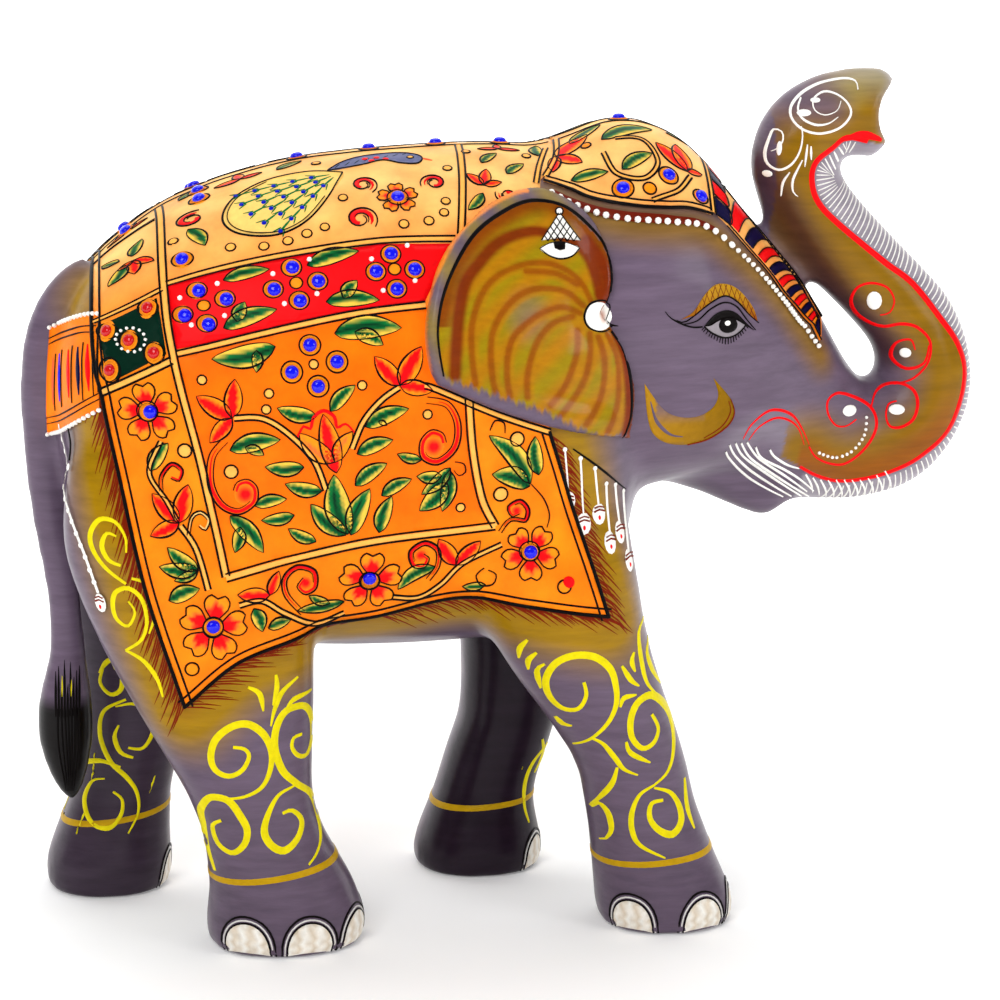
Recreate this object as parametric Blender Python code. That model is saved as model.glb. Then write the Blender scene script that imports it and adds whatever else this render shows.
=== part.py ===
"""Carved wooden elephant with its trunk raised: glued blocks on pegs, raised gesso layers and set stones.

X runs forward along the elephant, Y to its left and Z up. The origin is on the table, under the middle of the
elephant's box. Lengths are in millimetres here, and each mesh is made in metres.
"""

import math

import bmesh
import bpy
import numpy as np
from mathutils import Vector
from mathutils.bvhtree import BVHTree

MM = 0.001

# Driving dimensions of the figure, in millimetres.
LEG_SPREAD = 26.0  # from the middle plane to a leg's axis
LEG_TOP = 60.0  # the glue face between a leg and the torso
SOLE = 3.0  # the height of the table in the lists below
GAP = 0.3  # between neighbouring pieces
GESSO = 1.0  # thickness of the raised cloth layers
EAR_THICKNESS = 4.2
EAR_RIM = 2.4  # thickness at the ear's edge
STONE_RADIUS = 1.65
STONE_HEIGHT = 1.3
STONE_SIDES = 10
PEG_REACH = 12.0  # how far a leg's peg goes into each block
REACH = 250.0  # longer than the figure, for cutters that go right through it

# The smooth skin that the blocks are cut from.
SKIN_VOXEL = 2.2
SKIN_SMOOTHING = 8
SKIN_TRIANGLES = 4800
RING_POINTS = 28

# Torso rings along X: x, lowest z, highest z, half width.
TORSO = [
    (-110, 127, 145, 8),
    (-107, 114, 156, 22),
    (-102, 100, 164.5, 31),
    (-93, 88, 173.5, 37),
    (-78, 77, 183, 42),
    (-52, 72, 190.8, 45),
    (-20, 71, 193.6, 46),
    (4, 73, 193.5, 44),
    (18, 79, 189, 40),
    (27, 88, 172, 30),
    (31, 100, 150, 18),
]
# Head rings along X: x, lowest z, highest z, half width.
HEAD = [
    (-12, 118, 180, 26),
    (0, 112, 190, 34),
    (15, 108, 195, 38),
    (30, 108, 199.5, 38.5),
    (45, 110.5, 193.8, 36),
    (58, 112, 178.8, 31),
    (68, 109, 167, 25.5),
    (78, 105, 154.5, 20),
    (86, 103, 141, 16),
    (93, 104, 131, 13.5),
]
# Jaw, trunk and tail centrelines: x, z, radius.
JAW = [(42, 121, 12), (54, 113.5, 8.6), (63, 106.5, 6.2), (71, 100.5, 3.6)]
TRUNK = [
    (70, 121, 17),
    (80, 119, 16),
    (91, 117.5, 14.8),
    (101.5, 120, 13.8),
    (108.8, 131, 12.6),
    (106.6, 145.2, 11.4),
    (97.6, 156, 11),
    (87.2, 166.6, 10.9),
    (77.8, 178, 10.8),
    (73.8, 188, 10.6),
    (76.4, 196, 10.4),
    (84, 200.5, 10.2),
    (92, 200.5, 11),
    (98, 199.5, 11.6),
]
TAIL = [
    (-96, 166, 3.6),
    (-102.5, 163.5, 4.6),
    (-108.8, 155.5, 5.2),
    (-112.2, 144, 5.2),
    (-112.8, 126, 4.9),
    (-111.5, 106, 4.4),
    (-109, 88, 4),
    (-108.2, 72, 4.2),
    (-109, 59, 6.4),
    (-109.2, 49, 6.6),
    (-108.6, 39, 4.2),
    (-108, 33, 1.2),
]
# Legs from below the soles up: z, x of the axis, half length along X, half width along Y.
LEGS = {
    "leg_rear_right": [
        (-7, -58, 12, 10),
        (0, -58, 17.6, 15.6),
        (8, -58, 19.6, 17.4),
        (18, -59, 17.4, 16),
        (37, -65.2, 14.6, 14.4),
        (63, -72, 21.5, 16.5),
        (85, -77, 27, 17.5),
        (105, -79, 31, 17),
        (125, -80, 28, 11),
    ],
    "leg_rear_left": [
        (-7, -98, 10, 10),
        (0, -98, 14.8, 15.2),
        (8, -98, 16.2, 17),
        (18, -96.5, 14.4, 15.4),
        (34, -93, 12.6, 14),
        (62, -87, 18, 16.5),
        (85, -82, 26, 17.5),
        (105, -80, 30, 17),
        (125, -80, 28, 11),
    ],
    "leg_front_right": [
        (-7, 37, 11, 10),
        (0, 37, 15.6, 15.4),
        (8, 37, 17.2, 17),
        (18, 34.5, 15.6, 15.4),
        (34, 30.5, 13.6, 14),
        (47, 27, 14, 14.4),
        (73, 14, 18.6, 17),
        (95, 7.5, 21, 17.5),
        (120, 4, 20, 12),
    ],
    "leg_front_left": [
        (-7, -1.5, 10, 10),
        (0, -1.5, 15.2, 15.2),
        (8, -1.5, 16.8, 17),
        (22, 0, 13, 14),
        (35, 4, 13, 14),
        (47, 7.5, 13, 14.6),
        (73, 11, 17.6, 17),
        (95, 9, 23, 17.5),
        (120, 6, 21, 12),
    ],
}

# The glue faces that part the head from the torso and the trunk from the head, in the middle plane: x, z.
NECK_TOP, NECK_FOOT = (14, 230), (36, 92)
TRUNK_FACE = [(86, 92), (86, 146), (77, 157), (61, 183), (61, 230)]
BREAST = (45, 88)  # the torso's lowest front corner
LEGS_MIDDLE = -28  # between the rear legs and the front legs
TIP_HOLLOW = (102, 200.2, 8.8)  # the round notch in the trunk's tip: x, z, radius

# Outlines on the elephant's side: x, z. Each corner starts a new smooth run.
EAR_OUTLINE = [
    [(-23, 143.2), (-8.8, 136.4), (6, 131.4), (24, 127)],
    [(24, 127), (25.6, 137), (23.8, 145), (19.4, 154), (16.6, 158.2)],
    [(16.6, 158.2), (20.2, 164.2), (19.8, 171), (14.6, 182.2), (5, 187), (-5.5, 184.8), (-14.9, 179.7)]
    + [(-21.7, 172.3), (-25.2, 163.5), (-26.2, 156.7), (-25.4, 148), (-23, 143.2)],
]
CLOTH_OUTLINE = [
    [(-99, 215), (-99.6, 167), (-101.2, 151), (-100, 140), (-98, 128), (-92, 98), (-83, 66.5)],
    [(-83, 66.5), (-70, 77), (-53, 82), (-36, 84.5), (-18, 89), (0, 87.5), (19, 84.5)],
    [(19, 84.5), (12, 107), (4, 131), (-2, 150), (2, 175), (6.2, 187)],
    [(6.2, 187), (9.5, 191), (12, 197), (12, 215)],
]
CAP_OUTLINE = [
    [(13, 215), (12.6, 197), (10, 191), (6.8, 187)],
    [(6.8, 187), (12.7, 186), (18, 182.4), (24, 181), (35, 180.6), (45, 179)],
    [(45, 179), (47, 184.7), (48.5, 192), (49, 215)],
]
STRIP_OUTLINE = [
    [(49.6, 215), (49, 192), (47.5, 184.7), (45.6, 178.6)],
    [(45.6, 178.6), (50.6, 175.2), (57, 170.2), (66, 162.6), (74, 152)],
    [(74, 152), (76, 155.5)],
    [(76, 155.5), (67, 170), (58.5, 183.5), (58.5, 215)],
]
PANEL_REACH = 60  # more than the rump panel's length and its half width
# The fringed panel behind the cloth, seen from behind: distance from the middle plane, z.
RUMP_OUTLINE = [
    [(7, 153.5), (14, 156), (21, 158), (PANEL_REACH, 158)],
    [(PANEL_REACH, 158), (PANEL_REACH, 137), (32, 136.5), (20, 131), (7, 126)],
]
RUMP_FRONT = -101.6  # the panel ends against the cloth here
TAIL_FRONT = -101.9  # and the tail comes out from under it here

EAR_INSIDE = 8  # an ear stays this far from the middle plane
BELLY_BAR = (60, 28)  # a bar under the belly that no cloth reaches: z, radius

# Blue stones on each side: x, z.
BAND_STONES = [
    (-77.3, 165.1), (-80.8, 159.6), (-71.1, 163.3), (-75.5, 157.7),
    (-55.5, 170.3), (-60.0, 165.5), (-49.7, 167.2), (-54.2, 162.9),
    (-32.3, 173.1), (-36.1, 169.2), (-27.0, 169.5), (-31.5, 165.2),
]
BORDER_STONES = [(-89.6, 137.5), (-76.1, 86.7), (-38.3, 95.4), (-0.1, 101.4)]


def through(rows, steps=5, closed=False):
    """Rows of numbers on a smooth curve through the given rows (Catmull-Rom), with steps to each span."""
    rows = np.array(rows, float)
    count = len(rows)
    spans = count if closed else count - 1
    found = []
    for i in range(spans):
        near = [i - 1, i, i + 1, i + 2]
        a, b, c, d = (rows[k % count if closed else min(max(k, 0), count - 1)] for k in near)
        for k in range(steps):
            t = k / steps
            bend = 2 * a - 5 * b + 4 * c - d
            twist = 3 * b - a - 3 * c + d
            found.append(0.5 * (2 * b + (c - a) * t + bend * t**2 + twist * t**3))
    if not closed:
        found.append(rows[-1])
    return found


def oval(centre, across, up, half_across, half_up, power=2.2, count=RING_POINTS):
    """A ring of points on a superellipse round centre."""
    ring = []
    for k in range(count):
        angle = 2 * math.pi * k / count
        c, s = math.cos(angle), math.sin(angle)
        ring.append(
            centre
            + across * half_across * math.copysign(abs(c) ** (2 / power), c)
            + up * half_up * math.copysign(abs(s) ** (2 / power), s)
        )
    return ring


def solid(name, points, faces):
    """A mesh object from points in millimetres, with its faces turned outwards."""
    mesh = bpy.data.meshes.new(name)
    mesh.from_pydata([Vector(p) * MM for p in points], [], faces)
    work = bmesh.new()
    work.from_mesh(mesh)
    bmesh.ops.recalc_face_normals(work, faces=work.faces)
    work.to_mesh(mesh)
    work.free()
    obj = bpy.data.objects.new(name, mesh)
    bpy.context.scene.collection.objects.link(obj)
    return obj


def loft(name, rings):
    """A closed tube through rings of points."""
    n = len(rings[0])
    points = [p for ring in rings for p in ring]
    faces = [list(range(n)), list(range(len(points) - n, len(points)))]
    for r in range(len(rings) - 1):
        for k in range(n):
            m = (k + 1) % n
            faces.append([r * n + k, r * n + m, (r + 1) * n + m, (r + 1) * n + k])
    return solid(name, points, faces)


def barrel(name, rows):
    """A body lofted along X, from rows of x, lowest z, highest z and half width."""
    rings = []
    for x, low, high, half in through(rows):
        centre = Vector((x, 0, (low + high) / 2))
        rings.append(oval(centre, Vector((0, 1, 0)), Vector((0, 0, 1)), half, (high - low) / 2))
    return loft(name, rings)


def column(name, rows, y):
    """A leg lofted along Z, from rows of z, x, half length and half width."""
    rings = []
    for z, x, half_x, half_y in through(rows):
        rings.append(oval(Vector((x, y, z)), Vector((1, 0, 0)), Vector((0, 1, 0)), half_x, half_y))
    return loft(name, rings)


def hose(name, rows, width=1.0, steps=5, count=RING_POINTS):
    """A round bar along a line in the middle plane, from rows of x, z and radius."""
    line = through(rows, steps)
    rings = []
    for i, (x, z, radius) in enumerate(line):
        before, after = line[max(i - 1, 0)], line[min(i + 1, len(line) - 1)]
        along = Vector((after[0] - before[0], 0, after[1] - before[1])).normalized()
        up = Vector((-along.z, 0, along.x))
        rings.append(oval(Vector((x, 0, z)), Vector((0, 1, 0)), up, radius * width, radius, 2.0, count))
    return loft(name, rings)


def applied(obj):
    """Give the object the mesh that its modifiers make."""
    depsgraph = bpy.context.evaluated_depsgraph_get()
    mesh = bpy.data.meshes.new_from_object(obj.evaluated_get(depsgraph))
    obj.modifiers.clear()
    obj.data = mesh
    return obj


def combine(obj, operation, other):
    """Boolean obj with other, leaving other as it is."""
    modifier = obj.modifiers.new("cut", "BOOLEAN")
    modifier.operation = operation
    modifier.solver = "EXACT"
    modifier.object = other
    return applied(obj)


def copy_of(obj, name):
    made = bpy.data.objects.new(name, obj.data.copy())
    bpy.context.scene.collection.objects.link(made)
    return made


def hide(obj):
    """Mark a cutter or a guide, which isn't part of the elephant."""
    obj.hide_render = True
    obj.display_type = "WIRE"
    return obj


def figure_skin():
    """The whole figure in one smooth closed skin, which the wooden blocks are cut from."""
    skin = barrel("skin", TORSO)
    others = [barrel("skin_head", HEAD), hose("skin_jaw", JAW, 1.25), hose("skin_trunk", TRUNK)]
    for name, rows in LEGS.items():
        others.append(column("skin_" + name, rows, -LEG_SPREAD if name.endswith("right") else LEG_SPREAD))
    for other in others:
        combine(skin, "UNION", other)
        bpy.data.objects.remove(other)
    remesh = skin.modifiers.new("remesh", "REMESH")
    remesh.mode = "VOXEL"
    remesh.voxel_size = SKIN_VOXEL * MM
    smooth = skin.modifiers.new("smooth", "SMOOTH")
    smooth.factor = 0.5
    smooth.iterations = SKIN_SMOOTHING
    applied(skin)
    thin = skin.modifiers.new("thin", "DECIMATE")
    thin.ratio = SKIN_TRIANGLES / (2 * len(skin.data.polygons))
    return hide(applied(skin))


def combined(obj, operation, others):
    """Boolean obj with each of the others, which are guides, and take those away."""
    for other in others:
        combine(obj, operation, other)
        bpy.data.objects.remove(other)
    return obj


def prism(name, outline, across=REACH, lengthways=False, start=None):
    """A block of the outline (x, z), right through along Y; or of (y, z), from start backwards along X."""
    n = len(outline)
    if lengthways:
        points = [(start - depth, y, z) for depth in (0, across) for y, z in outline]
    else:
        points = [(x, y, z) for y in (-across, across) for x, z in outline]
    faces = [list(range(n)), list(range(n, 2 * n))]
    faces += [[k, (k + 1) % n, n + (k + 1) % n, n + k] for k in range(n)]
    return solid(name, points, faces)


def bar(name, start, end, radius, segments=16):
    """A round bar between two points."""
    start, end = Vector(start), Vector(end)
    along = (end - start).normalized()
    side = along.orthogonal().normalized()
    other = along.cross(side)
    rings = []
    for centre in (start, end):
        ring = []
        for k in range(segments):
            angle = 2 * math.pi * k / segments
            ring.append(centre + (side * math.cos(angle) + other * math.sin(angle)) * radius)
        rings.append(ring)
    return loft(name, rings)


def drawn(runs, steps=4):
    """A closed outline from smooth runs that meet at corners."""
    line = []
    for run in runs:
        line += [tuple(p) for p in through(run, steps)[:-1]]
    last = runs[-1][-1]
    if (last[0] - line[0][0]) ** 2 + (last[1] - line[0][1]) ** 2 > 1:
        line.append(last)
    return line


def material(name, colour, roughness, metallic=0.0):
    made = bpy.data.materials.new(name)
    made.use_nodes = True
    shader = made.node_tree.nodes["Principled BSDF"]
    shader.inputs["Base Color"].default_value = (*colour, 1)
    shader.inputs["Roughness"].default_value = roughness
    shader.inputs["Metallic"].default_value = metallic
    return made


def finish(obj, look, smooth_angle=40):
    """Give a finished piece its name, its material and its shading."""
    obj.data.materials.clear()
    obj.data.materials.append(look)
    for face in obj.data.polygons:
        face.material_index = 0
    obj.data.name = obj.name
    obj.data.shade_smooth()
    obj.data.set_sharp_from_angle(angle=math.radians(smooth_angle))
    return obj


def grown(obj, distance, name):
    """A copy of a closed solid, with each point moved out along its normal."""
    made = copy_of(obj, name)
    normals = [v.normal.copy() for v in obj.data.vertices]
    for vertex, normal in zip(made.data.vertices, normals):
        vertex.co += normal * distance * MM
    return made


def patch(skin, cutter):
    """The triangles of the skin's surface that lie inside the cutter, as a bmesh."""
    piece = copy_of(skin, "patch")
    outer, inner = bpy.data.materials.new("outer"), bpy.data.materials.new("inner")
    for obj, look in ((piece, outer), (cutter, inner)):
        obj.data.materials.clear()
        obj.data.materials.append(look)
    modifier = piece.modifiers.new("cut", "BOOLEAN")
    modifier.operation = "INTERSECT"
    modifier.solver = "EXACT"
    modifier.material_mode = "TRANSFER"
    modifier.object = cutter
    applied(piece)
    slot = list(piece.data.materials).index(outer)
    work = bmesh.new()
    work.from_mesh(piece.data)
    bmesh.ops.delete(work, geom=[f for f in work.faces if f.material_index != slot], context="FACES")
    bmesh.ops.dissolve_degenerate(work, edges=work.edges, dist=1e-5)
    bmesh.ops.triangulate(work, faces=work.faces)
    bpy.data.objects.remove(piece)
    bpy.data.objects.remove(cutter)
    for look in (outer, inner):
        bpy.data.materials.remove(look)
    return work


def layer(name, surface, thickness, rim=None):
    """A closed layer of a thickness, GAP above an open surface, thinner along its rim if rim is given."""
    surface.normal_update()
    surface.verts.index_update()
    points, faces = [], []
    for vertex in surface.verts:
        points.append(vertex.co / MM + vertex.normal * GAP)
    count = len(points)
    for vertex in surface.verts:
        high = rim if rim is not None and vertex.is_boundary else thickness
        points.append(vertex.co / MM + vertex.normal * (GAP + high))
    for face in surface.faces:
        ring = [v.index for v in face.verts]
        faces.append(ring[::-1])
        faces.append([i + count for i in ring])
    for edge in surface.edges:
        if edge.is_boundary:
            loop = edge.link_loops[0]
            a, b = loop.vert.index, loop.link_loop_next.vert.index
            faces.append([a, b, b + count, a + count])
    surface.free()
    return solid(name, points, faces)


def block(name, skin, regions, holes):
    """A wooden block: the skin inside a region, with its peg holes."""
    piece = copy_of(skin, name)
    combined(piece, "INTERSECT", regions)
    return combined(piece, "DIFFERENCE", holes)


def neck_point(z, ahead):
    """A point of the middle plane, ahead of the neck's glue face at height z."""
    slope = (NECK_FOOT[0] - NECK_TOP[0]) / (NECK_TOP[1] - NECK_FOOT[1])
    x = NECK_TOP[0] + slope * (NECK_TOP[1] - z)
    along = Vector((1, 0, slope)).normalized()
    return Vector((x, 0, z)) + along * ahead


# Pegs across the glue faces: name, start, end, radius.
def pegs():
    found = []
    for name, rows in LEGS.items():
        x = np.interp(LEG_TOP, [row[0] for row in rows], [row[1] for row in rows])
        y = -LEG_SPREAD if name.endswith("right") else LEG_SPREAD
        face, reach = Vector((x, y, LEG_TOP)), Vector((0, 0, PEG_REACH))
        found.append((name + "_peg", face - reach, face + reach, 3.0))
    found.append(("neck_peg", neck_point(150, -13), neck_point(150, 13), 5.0))
    found.append(("trunk_peg", Vector((75, 0, 118)), Vector((97, 0, 119)), 4.0))
    found.append(("tail_peg", Vector((-110.5, 0, 146)), Vector((-96, 0, 146)), 1.6))
    return found


def hole(peg):
    """The cutter for a peg's hole, with clearance all round."""
    name, start, end, radius = peg
    along = (end - start).normalized()
    return bar("hole", start - along * GAP, end + along * GAP, radius + GAP)


def wooden_blocks(skin, wood):
    all_pegs = {peg[0]: peg for peg in pegs()}
    leg_pegs = [all_pegs[name + "_peg"] for name in LEGS]
    low = LEG_TOP + GAP / 2
    torso_outline = [(-REACH, low), (BREAST[0], low), BREAST, NECK_FOOT, NECK_TOP, (-REACH, NECK_TOP[1])]
    torso_pegs = leg_pegs + [all_pegs["neck_peg"], all_pegs["tail_peg"]]
    made = [block("torso", skin, [prism("region", torso_outline)], [hole(p) for p in torso_pegs])]
    head_outline = [(NECK_TOP[0] + GAP, NECK_TOP[1]), (NECK_FOOT[0] + GAP, NECK_FOOT[1])]
    head_outline += [(x - GAP / 2, z - GAP / 2) for x, z in TRUNK_FACE]
    head_holes = [hole(all_pegs["neck_peg"]), hole(all_pegs["trunk_peg"])]
    made.append(block("head", skin, [prism("region", head_outline)], head_holes))
    trunk_outline = [(x + GAP / 2, z + GAP / 2) for x, z in TRUNK_FACE]
    trunk_outline += [(REACH, TRUNK_FACE[-1][1]), (REACH, TRUNK_FACE[0][1])]
    x, z, radius = TIP_HOLLOW
    trunk_holes = [hole(all_pegs["trunk_peg"]), bar("hollow", (x, -REACH, z), (x, REACH, z), radius, 24)]
    made.append(block("trunk", skin, [prism("region", trunk_outline)], trunk_holes))
    high = LEG_TOP - GAP / 2
    for name, rows in LEGS.items():
        side = -1 if name.endswith("right") else 1
        ends = (-REACH, LEGS_MIDDLE) if "rear" in name else (LEGS_MIDDLE, REACH)
        corners = [(x, side * y, z) for x in ends for y in (0, REACH) for z in (SOLE, high)]
        faces = [[0, 1, 3, 2], [4, 5, 7, 6], [0, 1, 5, 4], [2, 3, 7, 6], [0, 2, 6, 4], [1, 3, 7, 5]]
        region = solid("region", corners, faces)
        made.append(block(name, skin, [region], [hole(all_pegs[name + "_peg"])]))
    tail = hose("tail", TAIL, 1.0, 3, 14)
    combined(tail, "DIFFERENCE", [grown(skin, GAP, "near"), hole(all_pegs["tail_peg"])])
    behind_cloth = [(-REACH, 0), (TAIL_FRONT, 0), (TAIL_FRONT, REACH), (-REACH, REACH)]
    combined(tail, "INTERSECT", [prism("region", behind_cloth)])
    made.append(tail)
    for name, start, end, radius in all_pegs.values():
        made.append(bar(name, start, end, radius))
    return [finish(obj, wood) for obj in made]


def ears(skin, look):
    """An ear on each side: a slab that follows the neck under it, with a softened edge."""
    made = []
    for name, side in (("ear_right", -1), ("ear_left", 1)):
        cutter = prism("region", drawn(EAR_OUTLINE, 3))
        half = prism("half", [(-REACH, -REACH), (REACH, -REACH), (REACH, REACH), (-REACH, REACH)])
        for vertex in half.data.vertices:
            vertex.co.y = side * MM * (EAR_INSIDE if vertex.co.y > 0 else REACH)
        turn_out(half)
        combined(cutter, "INTERSECT", [half])
        made.append(finish(layer(name, patch(skin, cutter), EAR_THICKNESS, EAR_RIM), look))
    return made


def turn_out(obj):
    """Turn the faces of a closed mesh outwards."""
    work = bmesh.new()
    work.from_mesh(obj.data)
    bmesh.ops.recalc_face_normals(work, faces=work.faces)
    work.to_mesh(obj.data)
    work.free()


def cloth_layers(skin, gesso):
    """The raised layers that lie on the wood: the saddle cloth, head cap, forehead strip and rump panels."""
    made = []
    for name, outline in (
        ("saddle_cloth", CLOTH_OUTLINE),
        ("head_cap", CAP_OUTLINE),
        ("forehead_strip", STRIP_OUTLINE),
    ):
        cutter = prism("region", drawn(outline, 3))
        z, radius = BELLY_BAR
        belly = bar("belly", (-REACH, 0, z), (REACH, 0, z), radius, 12)
        combined(cutter, "DIFFERENCE", [belly, around_ears()])
        made.append(finish(layer(name, patch(skin, cutter), GESSO), gesso))
    for name, side in (("rump_panel_right", -1), ("rump_panel_left", 1)):
        outline = [(side * y, z) for y, z in drawn(RUMP_OUTLINE, 3)]
        cutter = prism("region", outline, PANEL_REACH, True, RUMP_FRONT)
        made.append(finish(layer(name, patch(skin, cutter), GESSO), gesso))
    return made


def around_ears():
    """The room that an ear takes, with the gap round it; the two ears' rooms leave the ridge alone."""
    line = drawn(EAR_OUTLINE, 3)
    centre = (sum(p[0] for p in line) / len(line), sum(p[1] for p in line) / len(line))
    wider = []
    for x, z in line:
        away = Vector((x - centre[0], z - centre[1]))
        away *= 1 + 2 * GAP / away.length
        wider.append((centre[0] + away.x, centre[1] + away.y))
    return prism("ears", wider)


def stone(name, x, z, side, cloth, glass):
    """A flat-back domed stone, lying on the cloth at x, z of a side."""
    start = Vector((x, side * REACH, z)) * MM
    place, normal = cloth.ray_cast(start, Vector((0, -side, 0)))[:2]
    across = normal.orthogonal().normalized()
    up = normal.cross(across)
    rings = []
    for radius, height in ((1.0, 0.0), (1.0, 0.3), (0.72, 0.8)):
        centre = place / MM + normal * (GAP + height * STONE_HEIGHT)
        ring = []
        for k in range(STONE_SIDES):
            angle = 2 * math.pi * k / STONE_SIDES
            ring.append(centre + (across * math.cos(angle) + up * math.sin(angle)) * radius * STONE_RADIUS)
        rings.append(ring)
    points = [p for ring in rings for p in ring] + [place / MM + normal * (GAP + STONE_HEIGHT)]
    n = STONE_SIDES
    faces = [list(range(n))]
    for k in range(n):
        after = (k + 1) % n
        faces += [[low + k, low + after, low + n + after, low + n + k] for low in (0, n)]
        faces.append([2 * n + k, 2 * n + after, 3 * n])
    return finish(solid(name, points, faces), glass)


def stones(cloth, glass):
    surface = BVHTree.FromObject(cloth, bpy.context.evaluated_depsgraph_get())
    made = []
    for side, side_name in ((-1, "right"), (1, "left")):
        for kind, places in (("band", BAND_STONES), ("border", BORDER_STONES)):
            for k, (x, z) in enumerate(places, 1):
                made.append(stone(f"{kind}_stone_{side_name}_{k}", x, z, side, surface, glass))
    return made


def centre_on_origin(pieces):
    """Move the elephant so that its box stands on the origin."""
    points = [v.co for obj in pieces for v in obj.data.vertices]
    low = Vector(min(p[axis] for p in points) for axis in range(3))
    high = Vector(max(p[axis] for p in points) for axis in range(3))
    foot = Vector(((low.x + high.x) / 2, (low.y + high.y) / 2, low.z))
    for obj in pieces:
        for vertex in obj.data.vertices:
            vertex.co -= foot


def clear_scene():
    for obj in list(bpy.data.objects):
        bpy.data.objects.remove(obj)
    units = bpy.context.scene.unit_settings
    units.system = "METRIC"
    units.scale_length = 1.0


def main():
    clear_scene()
    wood = material("painted_wood", (0.17, 0.14, 0.2), 0.3)
    ear_paint = material("ear_paint", (0.42, 0.2, 0.02), 0.3)
    gesso = material("gold_gesso", (0.9, 0.36, 0.06), 0.35, 0.2)
    glass = material("blue_glass", (0.01, 0.02, 0.6), 0.08)
    skin = figure_skin()
    pieces = wooden_blocks(skin, wood)
    pieces += ears(skin, ear_paint)
    layers = cloth_layers(skin, gesso)
    pieces += layers
    pieces += stones(layers[0], glass)
    bpy.data.objects.remove(skin)
    centre_on_origin(pieces)


main()
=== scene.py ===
"""The looks of the painted wooden elephant: one painted skin over its glued blocks, raised ears,
gilded cloth, set stones, and every painted line and leaf as thin raised paint laid on the wood.

Lengths in the drawing functions are millimetres. The elephant faces +X; side -1 is its right and
+1 its left. A chart is a function from two drawing lengths to a place and normal of the surface.
"""

import math

import bmesh
import bpy
import numpy as np
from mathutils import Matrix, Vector
from mathutils.bvhtree import BVHTree
from mathutils.geometry import delaunay_2d_cdt
from mathutils.kdtree import KDTree


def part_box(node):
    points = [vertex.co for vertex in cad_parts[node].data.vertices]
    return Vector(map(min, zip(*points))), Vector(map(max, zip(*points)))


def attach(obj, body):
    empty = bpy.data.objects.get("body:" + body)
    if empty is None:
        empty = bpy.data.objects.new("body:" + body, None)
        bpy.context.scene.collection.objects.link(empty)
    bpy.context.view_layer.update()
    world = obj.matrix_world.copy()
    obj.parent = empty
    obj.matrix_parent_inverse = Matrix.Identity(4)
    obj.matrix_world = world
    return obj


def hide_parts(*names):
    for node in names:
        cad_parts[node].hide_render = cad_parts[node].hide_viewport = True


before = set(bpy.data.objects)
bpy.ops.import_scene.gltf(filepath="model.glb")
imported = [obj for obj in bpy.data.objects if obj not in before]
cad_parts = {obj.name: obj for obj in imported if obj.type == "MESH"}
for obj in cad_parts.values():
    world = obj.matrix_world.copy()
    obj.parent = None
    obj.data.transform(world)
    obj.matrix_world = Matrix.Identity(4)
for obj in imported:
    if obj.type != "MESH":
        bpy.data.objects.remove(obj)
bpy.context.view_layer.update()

MM = 0.001
REACH = 300.0  # how far out a ray starts, past everything
SOLE = 3.0  # the height of the soles in the side view's drawings, which measure from lower down
AXIS_Z = 147.0  # the line along the body that the wrapped chart turns about
WRAP = 45.0  # the chart's radius: v runs from the axis height up over the back, RIDGE at the middle
RIDGE = WRAP * math.pi / 2

WOOD = ["torso", "head", "trunk", "tail"]
WOOD += ["leg_rear_right", "leg_rear_left", "leg_front_right", "leg_front_left"]
PEGS = [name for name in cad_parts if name.endswith("_peg")]
STONES = [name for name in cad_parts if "_stone_" in name]
GLASS = {}  # the looks of the set stones, by their kind


def rgb(r, g, b):
    """Linear colour from the 0 to 255 values of a paint chart."""
    made = []
    for c in (r, g, b):
        c /= 255
        made.append(c / 12.92 if c <= 0.04045 else ((c + 0.055) / 1.055) ** 2.4)
    return np.array(made)


LILAC = rgb(98, 83, 101)
PAINTED_SHADE_PLUM = rgb(28, 16, 28)
OLIVE = rgb(132, 94, 0)
OCHRE = rgb(140, 66, 0)
FRINGE = rgb(150, 112, 0)
BLACK = rgb(8, 4, 4)
WHITE = rgb(246, 244, 238)
GOLD = rgb(254, 142, 20)
ORANGE = rgb(254, 100, 0)
PALE = rgb(254, 206, 124)
LINE_GOLD = rgb(255, 178, 80)
RED = rgb(240, 8, 16)
CORAL = rgb(250, 96, 52)
GREEN = rgb(10, 112, 50)
LEAF_RIM = rgb(244, 196, 70)
NAVY = rgb(4, 4, 52)
PINE = rgb(0, 34, 22)
YELLOW = rgb(226, 210, 10)
BLUE = rgb(2, 6, 222)
BROWN = rgb(104, 26, 8)
TAN = rgb(190, 92, 14)
RUST = rgb(118, 28, 0)
PALE_LILAC = rgb(170, 164, 172)
BEND_SHADE_PLUM = rgb(58, 30, 40)
PALE_OLIVE = rgb(206, 196, 110)
BROW_GOLD = rgb(176, 128, 24)
BAND_GOLD = rgb(186, 146, 14)
NAIL_STAIN = rgb(196, 170, 130)
NECK_GREY = rgb(92, 96, 134)
EAR_OLIVE = rgb(146, 122, 6)
EAR_GOLD = rgb(168, 111, 5)
EAR_BROWN = rgb(116, 36, 0)
STRIPE_BROWN = rgb(138, 66, 0)


def mix(a, b, t):
    """Two colours, or rows of them, mixed by a number or by a row of them."""
    t = np.clip(t, 0, 1)[..., None]
    return a * (1 - t) + b * t


# ---- materials ----


def node(tree, kind, values=None):
    """A new shader node, with single values on its own sockets."""
    made = tree.nodes.new("ShaderNode" + kind)
    set_inputs(made, values or {})
    return made


def set_inputs(made, values):
    for name, value in values.items():
        made.inputs[name].default_value = value


def wire(tree, *links):
    """Join sockets; a link is a node and its output, then a node and its input."""
    for start, output, end, socket in links:
        tree.links.new(start.outputs[output], end.inputs[socket])


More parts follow.
